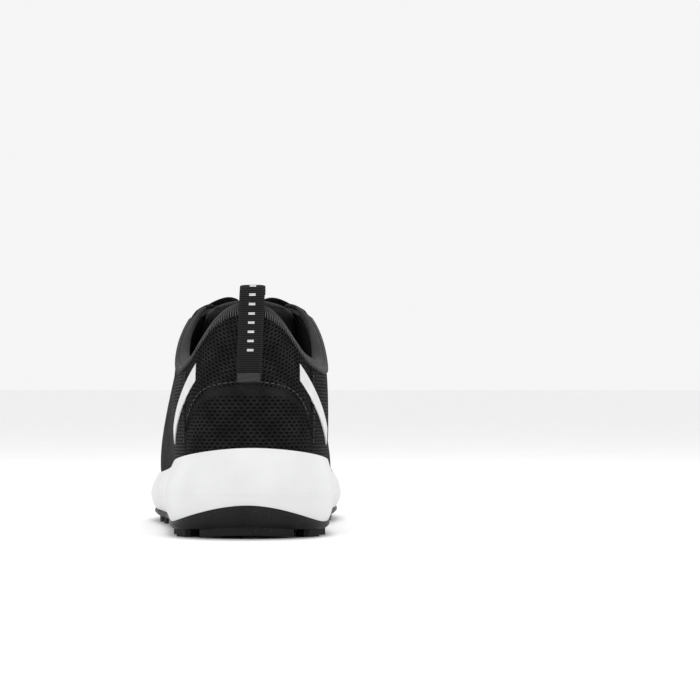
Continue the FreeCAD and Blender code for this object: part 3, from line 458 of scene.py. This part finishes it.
def make_materials():
    made = {}
    made["heel_low"] = mesh_fabric("heel_mesh_open", 3.1, 1.8, band=True)
    made["heel_up"] = mesh_fabric(
        "heel_mesh_slanted", 3.2, 1.5, turn=radians(36), mirrored=True, yarn=0.004, light=0.030, hole_shade=0.0012
    )
    made["side"] = mesh_fabric("side_mesh", 2.1, 1.7, yarn=0.005, light=0.019)
    made["toe"] = mesh_fabric("toe_mesh", 2.7, 1.8, yarn=0.005, light=0.019)

    s = Shader("fused_film")
    x, y, z = s.place(None)
    grain = s.noise(s.join(x, y, z), 1.6, 3.0, 0.6)
    broad = s.noise(s.join(x, y, z), 0.07, 2.0)
    shade = s.math("MULTIPLY", s.range(grain, 0.3, 0.7, 0.007, 0.013), s.range(broad, 0.3, 0.7, 0.8, 1.2))
    rough = s.range(broad, 0.3, 0.7, 0.42, 0.56)
    made["film"] = s.finish(s.join(shade, shade, shade), rough, grain, 0.25, 0.12, gloss=0.14)

    s = Shader("lining_knit")
    x, y, _ = s.place()
    rib = s.math("SINE", s.math("MULTIPLY", x, 2 * pi / 0.85))
    course = s.math("SINE", s.math("ADD", s.math("MULTIPLY", y, 2 * pi / 0.6), s.math("MULTIPLY", rib, 1.2)))
    fuzz = s.noise(s.join(x, y), 1.1, 4.0, 0.7)
    broad = s.noise(s.join(x, y), 0.05, 2.0)
    shade = s.math("MULTIPLY", s.range(fuzz, 0.25, 0.75, 0.022, 0.045), s.range(broad, 0.3, 0.7, 0.85, 1.15))
    color = s.join(s.math("MULTIPLY", shade, 1.04), shade, shade)
    loops = s.math("MULTIPLY", s.math("ADD", rib, course), 0.16)
    height = s.math("ADD", loops, s.math("MULTIPLY", fuzz, 0.6))
    made["lining"] = s.finish(color, 0.92, height, 0.5, 0.25, sheen=0.06, gloss=0.12)

    s = Shader("foam")
    x, y, z = s.place(None)
    place = s.join(x, y, z)
    fine = s.noise(place, 1.7, 4.0, 0.65)
    broad = s.noise(place, 0.035, 3.0)
    spots = s.add("TexVoronoi", {"Vector": place, "Scale": 0.9}, feature="F1").outputs["Distance"]
    shade = s.math("MULTIPLY", s.range(broad, 0.3, 0.7, 0.675, 0.73), s.range(fine, 0.3, 0.7, 0.985, 1.015))
    color = s.join(shade, s.math("MULTIPLY", shade, 1.002), s.math("MULTIPLY", shade, 1.004))
    grain = s.math("ADD", s.math("MULTIPLY", fine, 0.06), s.math("MULTIPLY", s.range(spots, 0.0, 0.35), 0.05))
    # A shallow moulded line runs round the heel above the rubber
    line = s.math("ABSOLUTE", s.math("SUBTRACT", z, 21.5))
    groove = s.math("MULTIPLY", s.range(line, 0.0, 2.2, 1.0, 0.0), s.range(y, -70.0, -30.0, 1.0, 0.0))
    height = s.math("SUBTRACT", grain, groove)
    made["foam"] = s.finish(color, s.range(fine, 0.3, 0.7, 0.52, 0.66), height, 0.5, 0.5, gloss=0.35)
    s.surface.inputs["Subsurface Weight"].default_value = 0.08
    s.surface.inputs["Subsurface Radius"].default_value = (0.004, 0.004, 0.0038)

    s = Shader("rubber")
    x, y, z = s.place(None)
    place = s.join(x, y, z)
    fine = s.noise(place, 1.4, 4.0, 0.6)
    broad = s.noise(place, 0.05, 3.0)
    dust = s.range(s.noise(place, 1.9, 2.0, 0.4), 0.70, 0.78)
    shade = s.math("MULTIPLY", s.range(broad, 0.3, 0.7, 0.006, 0.011), s.range(fine, 0.3, 0.7, 0.85, 1.2))
    color = s.mix(s.math("MULTIPLY", dust, 0.55), s.join(shade, shade, shade), (0.30, 0.30, 0.30))
    made["rubber"] = s.finish(color, s.range(broad, 0.3, 0.7, 0.42, 0.60), fine, 0.35, 0.15, gloss=0.17)

    s = Shader("webbing")
    x, y, _ = s.place()
    rib = s.math("SINE", s.math("MULTIPLY", y, 2 * pi / 0.92))
    pick = s.math("SINE", s.math("MULTIPLY", x, 2 * pi / 0.7))
    fuzz = s.noise(s.join(x, y), 1.8, 3.0, 0.7)
    shade = s.math("MULTIPLY", s.range(rib, -1.0, 1.0, 0.004, 0.026), s.range(fuzz, 0.3, 0.7, 0.8, 1.2))
    edge = s.range(s.math("ABSOLUTE", x), 4.8, 6.2, 1.0, 1.3)
    shade = s.math("MULTIPLY", shade, edge)
    # A plain column of equal woven dashes
    step = s.math("FRACT", s.math("DIVIDE", s.math("ADD", y, 400.0), 4.6))
    in_dash = s.range(s.math("ABSOLUTE", s.math("SUBTRACT", step, 0.5)), 0.10, 0.14, 1.0, 0.0)
    in_column = s.range(s.math("ABSOLUTE", s.math("SUBTRACT", x, 0.2)), 1.45, 1.75, 1.0, 0.0)
    in_run = s.math("MULTIPLY", s.range(y, 12.3, 12.7), s.range(y, 52.0, 52.4, 1.0, 0.0))
    mark = s.math("MULTIPLY", s.math("MULTIPLY", in_dash, in_column), in_run)
    white = s.range(rib, -1.0, 1.0, 0.52, 0.80)
    color = s.mix(mark, s.join(shade, shade, shade), s.join(white, white, white))
    weave = s.math("ADD", s.math("MULTIPLY", rib, 0.5), s.math("MULTIPLY", pick, 0.12))
    height = s.math("ADD", weave, s.math("MULTIPLY", mark, 0.3))
    made["webbing"] = s.finish(color, 0.72, height, 0.8, 0.35, gloss=0.07)

    s = Shader("bartack_thread")
    x, y, z = s.place(None)
    rib = s.math("SINE", s.math("ADD", s.math("MULTIPLY", z, 2 * pi / 0.62), s.math("MULTIPLY", x, 0.5)))
    fuzz = s.noise(s.join(x, y, z), 2.2, 3.0)
    shade = s.math("MULTIPLY", s.range(rib, -1.0, 1.0, 0.008, 0.085), s.range(fuzz, 0.3, 0.7, 0.8, 1.2))
    made["bartack"] = s.finish(s.join(shade, shade, shade), 0.6, rib, 0.8, 0.3, gloss=0.2)

    s = Shader("sewing_thread")
    x, y, z = s.place(None)
    fuzz = s.noise(s.join(x, y, z), 1.5, 2.0)
    shade = s.range(fuzz, 0.3, 0.7, 0.035, 0.085)
    made["thread"] = s.finish(s.join(shade, shade, shade), 0.6, fuzz, 0.3, 0.1, gloss=0.25)

    s = Shader("lace_weave")
    x, y, _ = s.place()
    chevron = s.math("ADD", y, s.math("MULTIPLY", s.math("ABSOLUTE", x), 0.9))
    weave = s.math("SINE", s.math("MULTIPLY", chevron, 2 * pi / 1.15))
    cross = s.math("SINE", s.math("MULTIPLY", x, 2 * pi / 0.95))
    fuzz = s.noise(s.join(x, y), 1.9, 3.0, 0.7)
    shade = s.math("MULTIPLY", s.range(weave, -1.0, 1.0, 0.005, 0.022), s.range(fuzz, 0.3, 0.7, 0.75, 1.25))
    rest = s.math("ADD", s.math("MULTIPLY", cross, 0.15), s.math("MULTIPLY", fuzz, 0.3))
    height = s.math("ADD", s.math("MULTIPLY", weave, 0.4), rest)
    made["lace"] = s.finish(s.join(shade, shade, shade), 0.8, height, 0.8, 0.35, gloss=0.08)

    s = Shader("white_film")
    _, x, y = s.place(None)
    warp = s.math("SINE", s.math("MULTIPLY", x, 2 * pi / 1.5))
    weave = s.math("MULTIPLY", warp, s.math("SINE", s.math("MULTIPLY", y, 2 * pi / 1.2)))
    broad = s.noise(s.join(x, y), 0.2, 2.0)
    shade = s.math("MULTIPLY", s.range(weave, -1.0, 1.0, 0.60, 0.74), s.range(broad, 0.3, 0.7, 0.94, 1.04))
    made["stripe"] = s.finish(s.join(shade, shade, s.math("MULTIPLY", shade, 1.01)), 0.42, weave, 0.25, 0.12)

    s = Shader("insole_cloth")
    x, y, z = s.place(None)
    dots = s.holes(x, y, 2.2, 1.9, 0.42, 0.42, wobble=0.1)
    fuzz = s.noise(s.join(x, y, z), 1.2, 4.0, 0.7)
    shade = s.math("MULTIPLY", s.range(fuzz, 0.3, 0.7, 0.012, 0.025), s.range(dots, 0.0, 1.0, 1.1, 0.55))
    color = s.join(shade, shade, s.math("MULTIPLY", shade, 1.05))
    made["insole"] = s.finish(color, 0.9, s.math("SUBTRACT", fuzz, dots), 0.5, 0.25, gloss=0.12)

    s = Shader("hidden_board")
    x, y, z = s.place(None)
    fibre = s.noise(s.join(x, s.math("MULTIPLY", y, 0.3), z), 1.2, 4.0, 0.7)
    shade = s.range(fibre, 0.3, 0.7, 0.42, 0.58)
    color = s.join(shade, s.math("MULTIPLY", shade, 0.97), s.math("MULTIPLY", shade, 0.88))
    made["board"] = s.finish(color, 0.85, fibre, 0.3, 0.15)

    s = Shader("dark_padding")
    x, y, z = s.place(None)
    cells = s.add("TexVoronoi", {"Vector": s.join(x, y, z), "Scale": 0.8}, feature="F1").outputs["Distance"]
    shade = s.range(cells, 0.0, 0.8, 0.010, 0.026)
    made["padding"] = s.finish(s.join(shade, shade, shade), 0.95, cells, 0.5, 0.3, gloss=0.1)

    s = Shader("aglet_plastic")
    x, y, z = s.place(None)
    fine = s.noise(s.join(x, y, z), 0.8, 2.0)
    shade = s.range(fine, 0.3, 0.7, 0.006, 0.010)
    rough = s.range(fine, 0.3, 0.7, 0.18, 0.28)
    made["aglet"] = s.finish(s.join(shade, shade, shade), rough, fine, 0.1, 0.05)

    s = Shader("studio_floor")
    x, y, z = s.place(None)
    fine = s.noise(s.join(x, y, z), 0.01, 3.0)
    shade = s.range(fine, 0.2, 0.8, 0.93, 0.95)
    made["floor"] = s.finish(s.join(shade, shade, shade), 0.9, fine, 0.02, 0.02)
    return made


LOOKS = make_materials()


def dress(thing, look, replaces=(), body="shoe"):
    """Gives a piece its look, the CAD nodes that it stands for and the body it rides on."""
    thing.data.materials.append(LOOKS[look])
    if body:
        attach(thing, body)
    if replaces:
        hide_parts(*replaces)
    return thing


# ---- Upper -----------------------------------------------------------------------------------------------
def seam_w(u):
    return w_at(u, keyed(ARCH_SEAM, from_heel(u)))


def under_seam_w(u):
    return seam_w(u) + 0.012


def bottom_w(u):
    return np.full(np.shape(u), PANEL_FOOT)


low_panel = panel("heel_fabric_lower", -HEEL_EDGE, HEEL_EDGE, bottom_w, under_seam_w, 0.0, 120, 50)
dress(low_panel, "heel_low", ["heel_panel_lower"])
# The upper heel panel overlaps the lower one and stands a little proud of it
high_panel = panel("heel_fabric_upper", -1.02, 1.02, seam_w, edge_w, -0.4, 140, 50)
dress(high_panel, "heel_up", ["heel_panel_upper"])
for name, side in (("medial", 1), ("lateral", -1)):
    ends = HEEL_EDGE - 0.02, TOE_SEAM + 0.01
    if side < 0:
        ends = 12 - ends[1], 12 - ends[0]
    quarter = panel("quarter_fabric_" + name, *ends, bottom_w, edge_w, -0.02, 220, 70)
    dress(quarter, "side", ["quarter_" + name])


def toe_cap():
    """The vamp: one panel round the toe whose two top edges are welded along the ridge."""
    rows, columns = 181, 70
    u = np.broadcast_to(np.linspace(TOE_SEAM, 12 - TOE_SEAM, rows)[:, None], (rows, columns))
    w = np.broadcast_to(np.linspace(PANEL_FOOT, 1.0, columns)[None, :], (rows, columns))
    outer, inner = (skin(u, w, np.full(w.shape, depth)) for depth in (-0.03, FABRIC))
    return face_outward(shell("toe_fabric", outer, inner, open_top=True), WELD)


dress(toe_cap(), "toe", ["vamp"])


# ---- Padded collar ---------------------------------------------------------------------------------------
ROLL = np.array([
    (0.6, 0.5), (0.9, 2.7), (2.4, 4.7), (4.6, 5.2), (6.7, 4.2), (8.3, 1.0),
    (9.0, -5.0), (9.0, -14.0), (7.8, -23.0), (5.6, -31.0), (3.8, -38.0),
])
THIN_DEPTH = [0.6, 0.8, 1.4, 2.3, 3.1, 3.6, 3.8, 3.8, 3.8, 3.8, 3.8]
LINING = 0.8


def roll_place(u, k):
    """Depth below the skin and height above the topline at place k along the roll."""
    full = keyed(list(enumerate(ROLL[:, 0])), k)
    thin = keyed(list(enumerate(THIN_DEPTH)), k)
    fade = smooth(1.8, COLLAR_END, from_heel(u))
    return full + (thin - full) * fade, keyed(list(enumerate(ROLL[:, 1])), k)


def roll_point(u, i, inset):
    """A point on the lining's face, moved in by inset. Past place 10 the cloth runs down to the floor."""
    k = np.clip(i, 0.02, 9.98)
    d, h = roll_place(u, np.clip(i, 0, 10))
    d0, h0 = roll_place(u, k - 0.02)
    d1, h1 = roll_place(u, k + 0.02)
    length = np.hypot(d1 - d0, h1 - h0)
    d, h = d + inset * (h1 - h0) / length, h - inset * (d1 - d0) / length
    z = keyed(TOPLINE, from_heel(u)) + h
    low = floor_z(at(UPPER_Y, u)) + 0.3
    z = np.where(i > 10, z + (low - z) * (i - 10) / 2, z)
    return wall(u, z, d)


def collar():
    rows, columns = 260, 90
    end = COLLAR_END - 0.02
    u = np.broadcast_to(np.linspace(-end, end, rows)[:, None], (rows, columns))
    i = np.broadcast_to(12 * np.linspace(0, 1, columns)[None, :] ** 1.25, (rows, columns))
    # Shallow gathers where the cloth turns over the foam
    along = at(UPPER_X, u) * 0.11 + at(UPPER_Y, u) * 0.13
    gather = np.sin(7.1 * u + 2.1 * np.sin(3.3 * u)) * 0.16 + np.sin(along * 2.3 + i) * 0.10
    gather *= smooth(0.6, 2.5, i) * (1 - smooth(8, 11, i))
    return shell("collar_cloth", roll_point(u, i, gather), roll_point(u, i, LINING))


pad = dress(collar(), "lining", ["collar_lining"])


# ---- Sewing ----------------------------------------------------------------------------------------------
def threads(name, paths, radius):
    """Short sewn threads: each path is a few points, swept as a six-sided tube with pinched ends."""
    paths = np.asarray(paths, float)
    count, stops = paths.shape[:2]
    forward = unit(np.gradient(paths, axis=1))
    away = unit(np.cross(forward, [0.31, 0.52, 0.8]))
    beside = np.cross(forward, away)
    angle = np.arange(6) * pi / 3
    place = np.arange(stops)
    swell = radius * np.where((place == 0) | (place == stops - 1), 0.35, 1.0)[None, :, None, None]
    turn = np.cos(angle)[:, None] * away[:, :, None] + np.sin(angle)[:, None] * beside[:, :, None]
    points = (paths[:, :, None] + swell * turn).reshape(-1, 3)
    i, j = np.meshgrid(np.arange(stops - 1), np.arange(6), indexing="ij")
    k = (j + 1) % 6
    one = np.stack([i * 6 + j, i * 6 + k, (i + 1) * 6 + k, (i + 1) * 6 + j], -1).reshape(-1, 4)
    faces = (one[None] + (np.arange(count) * stops * 6)[:, None, None]).reshape(-1, 4)
    caps = [[c * stops * 6 + n for n in range(5, -1, -1)] for c in range(count)]
    caps += [[c * stops * 6 + (stops - 1) * 6 + n for n in range(6)] for c in range(count)]
    dress(mesh(name, points, [*faces.tolist(), *caps]), "thread")


def spaced(u0, u1, z_of, gap):
    """Stations about `gap` millimetres apart along the wall at height z_of(u)."""
    u = np.linspace(u0, u1, 4000)
    p = wall(u, z_of(u))
    run = np.concatenate([[0], np.cumsum(np.linalg.norm(np.diff(p, axis=0), axis=1))])
    return np.interp(np.arange(gap / 2, run[-1], gap), run, u)


def topline_z(u):
    return keyed(TOPLINE, from_heel(u))


def overlock():
    """Close stitches that bind the edge of the fabric to the collar's cloth."""
    u = spaced(-2.58, 2.58, topline_z, 1.25)
    lean = 0.004 * np.sign(u)
    top = topline_z(u)
    stops = [
        wall(u - lean, top - 2.6, -0.35), wall(u - lean, top - 2.0, -0.78), wall(u, top - 0.6, -0.80),
        roll_point(u + lean, 0.0, -0.62), roll_point(u + lean, 0.8, -0.30),
    ]
    threads("collar_overlock", np.stack(stops, 1), 0.30)


overlock()


def running_stitch(name, u0, u1, z_of, depth, length=2.1, gap=3.0):
    """A row of stitches along the wall at height z_of(u)."""
    u = spaced(u0, u1, z_of, gap)
    span = np.gradient(u) * length / gap / 2
    dips = [(-1, 0.35), (-0.7, 0.0), (0, -0.08), (0.7, 0.0), (1, 0.35)]
    stops = [wall(u + s * span, z_of(u + s * span), depth + sink) for s, sink in dips]
    threads(name, np.stack(stops, 1), 0.24)


running_stitch("arch_stitches", -0.97, 0.97, lambda u: keyed(ARCH_SEAM, from_heel(u)) + 1.6, -0.62)
for name, side in (("medial", 1), ("lateral", -1)):
    z = np.arange(49, 84, 3.0)
    u = np.full(z.shape, side * (HEEL_EDGE + 0.03))
    dips = [(-1.05, 0.3), (-0.7, 0.0), (0, -0.06), (0.7, 0.0), (1.05, 0.3)]
    stops = [wall(u, z + h, -0.22 + sink) for h, sink in dips]
    threads("side_seam_stitches_" + name, np.stack(stops, 1), 0.22)


# ---- Tongue ----------------------------------------------------------------------------------------------
TONGUE_DEPTH, TONGUE_CURVE = 6.0, 0.0115
TONGUE_TOP, TONGUE_ROOT = 2.42, 4.72
TONGUE_HALF_WIDTH = [(2.42, 18.5), (2.55, 22.3), (2.8, 23.2), (3.3, 25.0), (4.0, 23.0), (4.72, 18.0)]
TONGUE_THICK = [(2.42, 2.2), (2.5, 4.4), (2.65, 6.2), (3.2, 6.0), (4.2, 3.6), (4.72, 1.6)]
ACROSS = np.array([1.0, 0.0, 0.0])


def tongue_point(v, across, below):
    """A point of the tongue at station v, across from -1 to 1, this far below its upper face."""
    v, across, below = np.broadcast_arrays(*(np.asarray(value, float) for value in (v, across, below)))
    normal = normal_at(v, 1.0)
    offset = across * keyed(TONGUE_HALF_WIDTH, v)
    p = skin(v, 1.0, TONGUE_DEPTH + below)
    lift = np.stack([0 * v, normal[..., 1], normal[..., 2]], -1)
    return p + ACROSS * offset[..., None] - lift * (TONGUE_CURVE * offset**2)[..., None]


def tongue():
    rows, columns = 150, 50
    v = np.broadcast_to(np.linspace(TONGUE_TOP, TONGUE_ROOT, rows)[:, None], (rows, columns))
    across = np.broadcast_to(np.linspace(-1, 1, columns)[None, :], (rows, columns))
    thick = keyed(TONGUE_THICK, v)
    # A stitched channel runs down each side, and the foam between them puffs up a little
    channel = 0.7 * np.exp(-((np.abs(across) - 0.72) / 0.035) ** 2) * smooth(2.5, 2.6, v)
    crease = 0.25 * np.sin(19 * v + 3 * across) * (1 - across**2) * smooth(2.8, 3.0, v)
    top = tongue_point(v, across, channel + crease)
    bottom = tongue_point(v, across, thick * (1 - 0.55 * across**4))
    return shell("tongue_padded", top, bottom)


tongue_piece = dress(tongue(), "lining", ["tongue", "tongue_top"], body=None)
HINGE_V = 2.94
bend_start, bend_end = (Vector(tongue_point(HINGE_V + v, 0.0, 3.0) / 1000) for v in (0.12, -0.12))
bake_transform(tongue_piece)


# ---- Lace ------------------------------------------------------------------------------------------------
EYELETS = 6
ROWS = [4.26 - 0.226 * k for k in range(EYELETS)]
HOLE_FROM_EDGE = 7.0
LACE_WIDTH, LACE_THICK, HOLE_LACE_WIDTH = 6.0, 1.2, 3.4
# Depths of the lace under the upper and over the eyestay
UNDER, OVER = 4.75, -0.9 - 0.12 - LACE_THICK / 2 - 0.4
KNOT_V = 3.08


def side_station(v, side):
    return v if side > 0 else 12 - v


def walk_down(u, w, distance, step):
    """The w at this distance along the skin below the height w."""
    run, before = 0.0, skin(u, w)
    while run < distance:
        w -= step
        here = skin(u, w)
        run += float(np.linalg.norm(here - before))
        before = here
    return w


def from_edge(u, distance):
    return walk_down(u, float(edge_w(u)), distance, 0.002)


def throat_direction(v):
    return unit(skin(v + 0.02, 1.0) - skin(v - 0.02, 1.0))


def on_tongue(v, offset, height):
    return tongue_point(v, offset / keyed(TONGUE_HALF_WIDTH, v), -height)


def ribbon(name, stops, per_stop=9):
    """A flat woven band through stops of (point, throat station, width)."""
    table = np.array([(*p, v, width) for p, v, width in stops])
    line = curve_through(table, per_stop)
    centre = line[:, :3]
    forward = unit(np.gradient(centre, axis=0))
    ridge = throat_direction(line[:, 3])
    along = unit(ridge - forward * (ridge * forward).sum(-1, keepdims=True))
    up = np.cross(along, forward)
    e = np.linspace(-1, 1, 9)[None, :, None]
    half = np.clip(line[:, 4], 2.0, LACE_WIDTH)[:, None, None] / 2
    thick = LACE_THICK / 2 * (1 - 0.5 * e**4)
    middle = centre[:, None] + along[:, None] * e * half
    top, bottom = middle + up[:, None] * thick, middle - up[:, None] * thick
    run = np.concatenate([[0], np.cumsum(np.linalg.norm(np.diff(centre, axis=0), axis=1))])
    uv = np.stack(np.broadcast_arrays(e[:, :, 0] * half[:, :, 0], run[:, None]), -1)
    return shell(name, top, bottom, uv)


def rise_through(k, side):
    """The lace from below the upper through eyelet k and over the throat's edge."""
    u = side_station(ROWS[k], side)
    w = from_edge(u, HOLE_FROM_EDGE)
    rows = [
        (HOLE_FROM_EDGE - 4.6, UNDER, LACE_WIDTH - 1),
        (HOLE_FROM_EDGE - 0.9, UNDER - 0.2, HOLE_LACE_WIDTH + 0.4),
        (None, 2.6, HOLE_LACE_WIDTH),
        (None, -0.2, HOLE_LACE_WIDTH),
        (HOLE_FROM_EDGE - 1.4, OVER - 0.3, HOLE_LACE_WIDTH + 0.8),
        (HOLE_FROM_EDGE - 4.6, OVER, LACE_WIDTH - 0.6),
        (0.3, OVER + 0.2, LACE_WIDTH),
    ]
    return [(skin(u, w if d is None else from_edge(u, d), depth), ROWS[k], width) for d, depth, width in rows]


def crossing(k, side, over):
    """The lace over the tongue between two rows; `over` lifts it above the other side's."""
    v0, v1 = ROWS[k], ROWS[k + 1]
    first, last = v0 + 0.35 * (v1 - v0), v0 + 0.65 * (v1 - v0)
    return [
        (on_tongue(first, 8.0 * side, 1.6 + 1.9 * over), first, LACE_WIDTH),
        (on_tongue((v0 + v1) / 2, 0.0, 1.2 + 1.75 * over), (v0 + v1) / 2, LACE_WIDTH),
        (on_tongue(last, -7.5 * side, 1.3 + 1.7 * over), last, LACE_WIDTH),
    ]


def strand(first_side):
    side = first_side
    stops = list(reversed(rise_through(0, side)))[:-1]
    for k in range(EYELETS - 1):
        stops += crossing(k, side, (k % 2 == 0) == (first_side > 0))
        side = -side
        stops += rise_through(k + 1, side)
    return stops + [(on_tongue(KNOT_V, -5.8 * first_side, 2.2), KNOT_V, LACE_WIDTH - 1.5)]


def bow_point(side, arc, height, forward):
    u = side_station(KNOT_V + forward, side)
    return skin(u, walk_down(u, 1.0, arc, 0.004), -height)


# Distance down the side from the ridge, height over the skin and way forward of the knot
LOOP = [
    (6.1, 1.9, 0.0), (10.0, 4.6, 0.03), (18.0, 6.4, 0.09), (26.0, 6.8, 0.15), (31.0, 6.8, 0.185),
    (33.2, 6.3, 0.195), (34.4, 4.5, 0.20), (33.2, 2.7, 0.195), (31.0, 2.2, 0.185), (26.0, 2.3, 0.15),
    (18.0, 2.9, 0.10), (10.5, 2.3, 0.05), (6.1, 0.1, 0.01),
]
TAIL = [
    (6.1, -1.6, 0.07), (10.0, 1.2, 0.21), (15.0, 3.9, 0.34), (22.0, 5.4, 0.41), (29.0, 4.5, 0.47),
    (35.0, 2.7, 0.54), (40.0, 1.7, 0.62),
]


def bow_stops(path, side, width):
    return [(bow_point(side, a, h, f), KNOT_V + f, width) for a, h, f in path]


bar = (on_tongue(ROWS[0], 0.0, 3.2), ROWS[0], LACE_WIDTH)
lace = ribbon("lace_strand", [*reversed(strand(-1)), bar, *strand(1)])
dress(lace, "lace", ["lace"])
for name, side in (("medial", 1), ("lateral", -1)):
    dress(ribbon("lace_loop_" + name, bow_stops(LOOP, side, LACE_WIDTH)), "lace")
    dress(ribbon("lace_tail_" + name, bow_stops(TAIL, side, LACE_WIDTH - 0.5)), "lace")


def knot():
    """The knot: the band wrapped once round where the two sides cross."""
    rows, columns = 40, 24
    a = np.linspace(0, 2 * pi, rows)[:, None]
    e = np.linspace(-1, 1, columns)[None, :]
    bulge = (1 - np.abs(e) ** 4) ** 0.5
    half_x, half_y, half_z = 4.7, 4.0, 3.2
    c, s = np.cos(a), np.sin(a)
    r = (np.abs(c) ** 3 + np.abs(s) ** 3) ** (-1 / 3)
    fold = 1 + 0.035 * np.sin(3 * a + 2.5 * e)
    x = half_x * e
    y = half_y * r * c * (0.55 + 0.45 * bulge) * fold
    z = half_z * r * s * (0.55 + 0.45 * bulge) * fold
    turn = radians(-14)
    y, z = y * np.cos(turn) - z * np.sin(turn), y * np.sin(turn) + z * np.cos(turn)
    grid = np.stack(np.broadcast_arrays(x, y, z), -1) + on_tongue(KNOT_V, 0.0, 5.0)
    uv = np.stack(np.broadcast_arrays(x, a * 3.6), -1)
    ends = [list(range(0, rows * columns, columns)), list(range(columns - 1, rows * columns, columns))[::-1]]
    faces = [*quads(rows, columns), *[end[:-1] for end in ends]]
    return face_outward(mesh("lace_knot", grid.reshape(-1, 3), faces, uv.reshape(-1, 2)), WELD)


dress(knot(), "lace")


# ---- Pull loop -------------------------------------------------------------------------------------------
LOOP_BASE_Z = 78.5
LOOP_LEAN, WEBBING_WIDTH, WEBBING = 0.035, 12.5, 1.3
SEWN_TO_Z = 114.5


def heel_x(z):
    return 9.3 + LOOP_LEAN * (z - LOOP_BASE_Z)


def heel_y(x, z, depth):
    """The y of the heel's skin, moved out by -depth, at this x and height."""
    x, z = np.broadcast_arrays(np.asarray(x, float), np.asarray(z, float))
    low, high = np.full(x.shape, -0.7), np.full(x.shape, 0.7)
    for _ in range(24):
        middle = (low + high) / 2
        left = wall(middle, z, depth)[..., 0] < x
        low, high = np.where(left, middle, low), np.where(left, high, middle)
    return wall((low + high) / 2, z, depth)[..., 1]


def strap(name, path, half_width, thick, per_stop):
    """A strap that lies on the heel and then leaves it in a loop. path holds y, z of its inner face."""
    line = curve_through(np.array([(0.0, y, z) for y, z in path]), per_stop)[:, 1:]
    tangent = unit(np.gradient(line, axis=0))
    out = np.stack([-tangent[:, 1], tangent[:, 0]], -1)
    e = np.linspace(-1, 1, 13)[None, :]
    side = e * half_width
    grids = []
    for height in (thick * (1 - 0.35 * e**6), 0.35 * thick * e**6):
        y = line[:, :1] + out[:, :1] * height + side**2 / 100
        z = line[:, 1:] + out[:, 1:] * height
        x = heel_x(z) + side
        lying = heel_y(x, np.minimum(z, SEWN_TO_Z), -0.3 - height)
        share = 1 - smooth(113.0, 117.5, z)
        share[len(line) // 2:] = 0
        y = y + (lying - y) * share
        grids.append(np.stack([x, y, z], -1))
    run = np.concatenate([[0], np.cumsum(np.linalg.norm(np.diff(line, axis=0), axis=1))])
    uv = np.stack(np.broadcast_arrays(side, run[:, None]), -1)
    return shell(name, *grids, uv)


hinge_y = float(heel_y(10.6, SEWN_TO_Z, -0.25))
LOOP_SHAPE = [
    (0.0, 78.6), (0.0, 90.0), (0.0, 103.0), (0.0, 113.0), (0.0, 117.6), (0.3, 120.0),
    (1.2, 123.8), (3.4, 126.3), (5.8, 126.4), (8.0, 124.2), (9.4, 122.6),
]
loop_path = [(hinge_y + forward, z) for forward, z in LOOP_SHAPE]
loop_piece = strap("pull_loop_webbing", loop_path, WEBBING_WIDTH / 2, WEBBING, 16)
dress(loop_piece, "webbing", ["pull_loop_base", "pull_loop_top"], body=None)
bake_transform(loop_piece)


# ---- CAD nodes that show as they are ---------------------------------------------------------------------
def keep(name, look):
    """Gives a CAD node its look."""
    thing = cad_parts[name]
    thing.data.materials.clear()
    thing.data.materials.append(LOOKS[look])
    thing.data.polygons.foreach_set("use_smooth", [True] * len(thing.data.polygons))


KEPT = {
    "foam": ["midsole"],
    "rubber": ["outsole"],
    "film": ["eyestay_medial", "eyestay_lateral"],
    "aglet": ["aglets"],
    "insole": ["sockliner_cover", "vamp_lining", "quarter_lining_medial", "quarter_lining_lateral"],
    "board": ["sockliner_foam", "strobel_board", "heel_counter", "toe_puff"],
    "padding": ["quarter_padding_medial", "quarter_padding_lateral", "collar_foam"],
    "stripe": ["stripe_medial", "stripe_lateral"],
    "bartack": ["pull_loop_patch"],
}
for look, names in KEPT.items():
    for name in names:
        keep(name, look)


# ---- Room, lights and camera -----------------------------------------------------------------------------
bpy.ops.mesh.primitive_plane_add(size=60, location=(0, 0, 0))
floor = bpy.context.object
floor.name = "studio_floor"
floor.data.materials.append(LOOKS["floor"])

world = bpy.data.worlds.new("studio")
bpy.context.scene.world = world
world.use_nodes = True
background = world.node_tree.nodes["Background"]
background.inputs[0].default_value = (1.0, 1.0, 1.0, 1.0)
background.inputs[1].default_value = 0.92


def soft_light(name, place, target, size, power):
    data = bpy.data.lights.new(name, "AREA")
    data.size, data.energy = size, power
    lamp = bpy.data.objects.new(name, data)
    bpy.context.scene.collection.objects.link(lamp)
    lamp.location = place
    lamp.rotation_euler = (Vector(target) - Vector(place)).to_track_quat("-Z", "Y").to_euler()


soft_light("light_above", (0.05, -0.1, 1.3), (0, 0, 0.05), 0.8, 6.5)
soft_light("light_left", (-1.0, -0.7, 0.8), (0, -0.05, 0.07), 0.4, 2.2)
soft_light("light_right", (1.1, -0.7, 0.8), (0, -0.05, 0.07), 0.4, 2.2)
bpy.context.scene.view_settings.view_transform = "Standard"

camera_data = bpy.data.cameras.new("camera")
camera_data.lens, camera_data.sensor_width = 126.0, 36.0
camera_data.shift_y = 0.0486
camera = bpy.data.objects.new("camera", camera_data)
bpy.context.scene.collection.objects.link(camera)
camera.location = (0.0599, -1.364, 0.078)
camera.rotation_euler = (radians(90), 0, 0)
bpy.context.scene.camera = camera
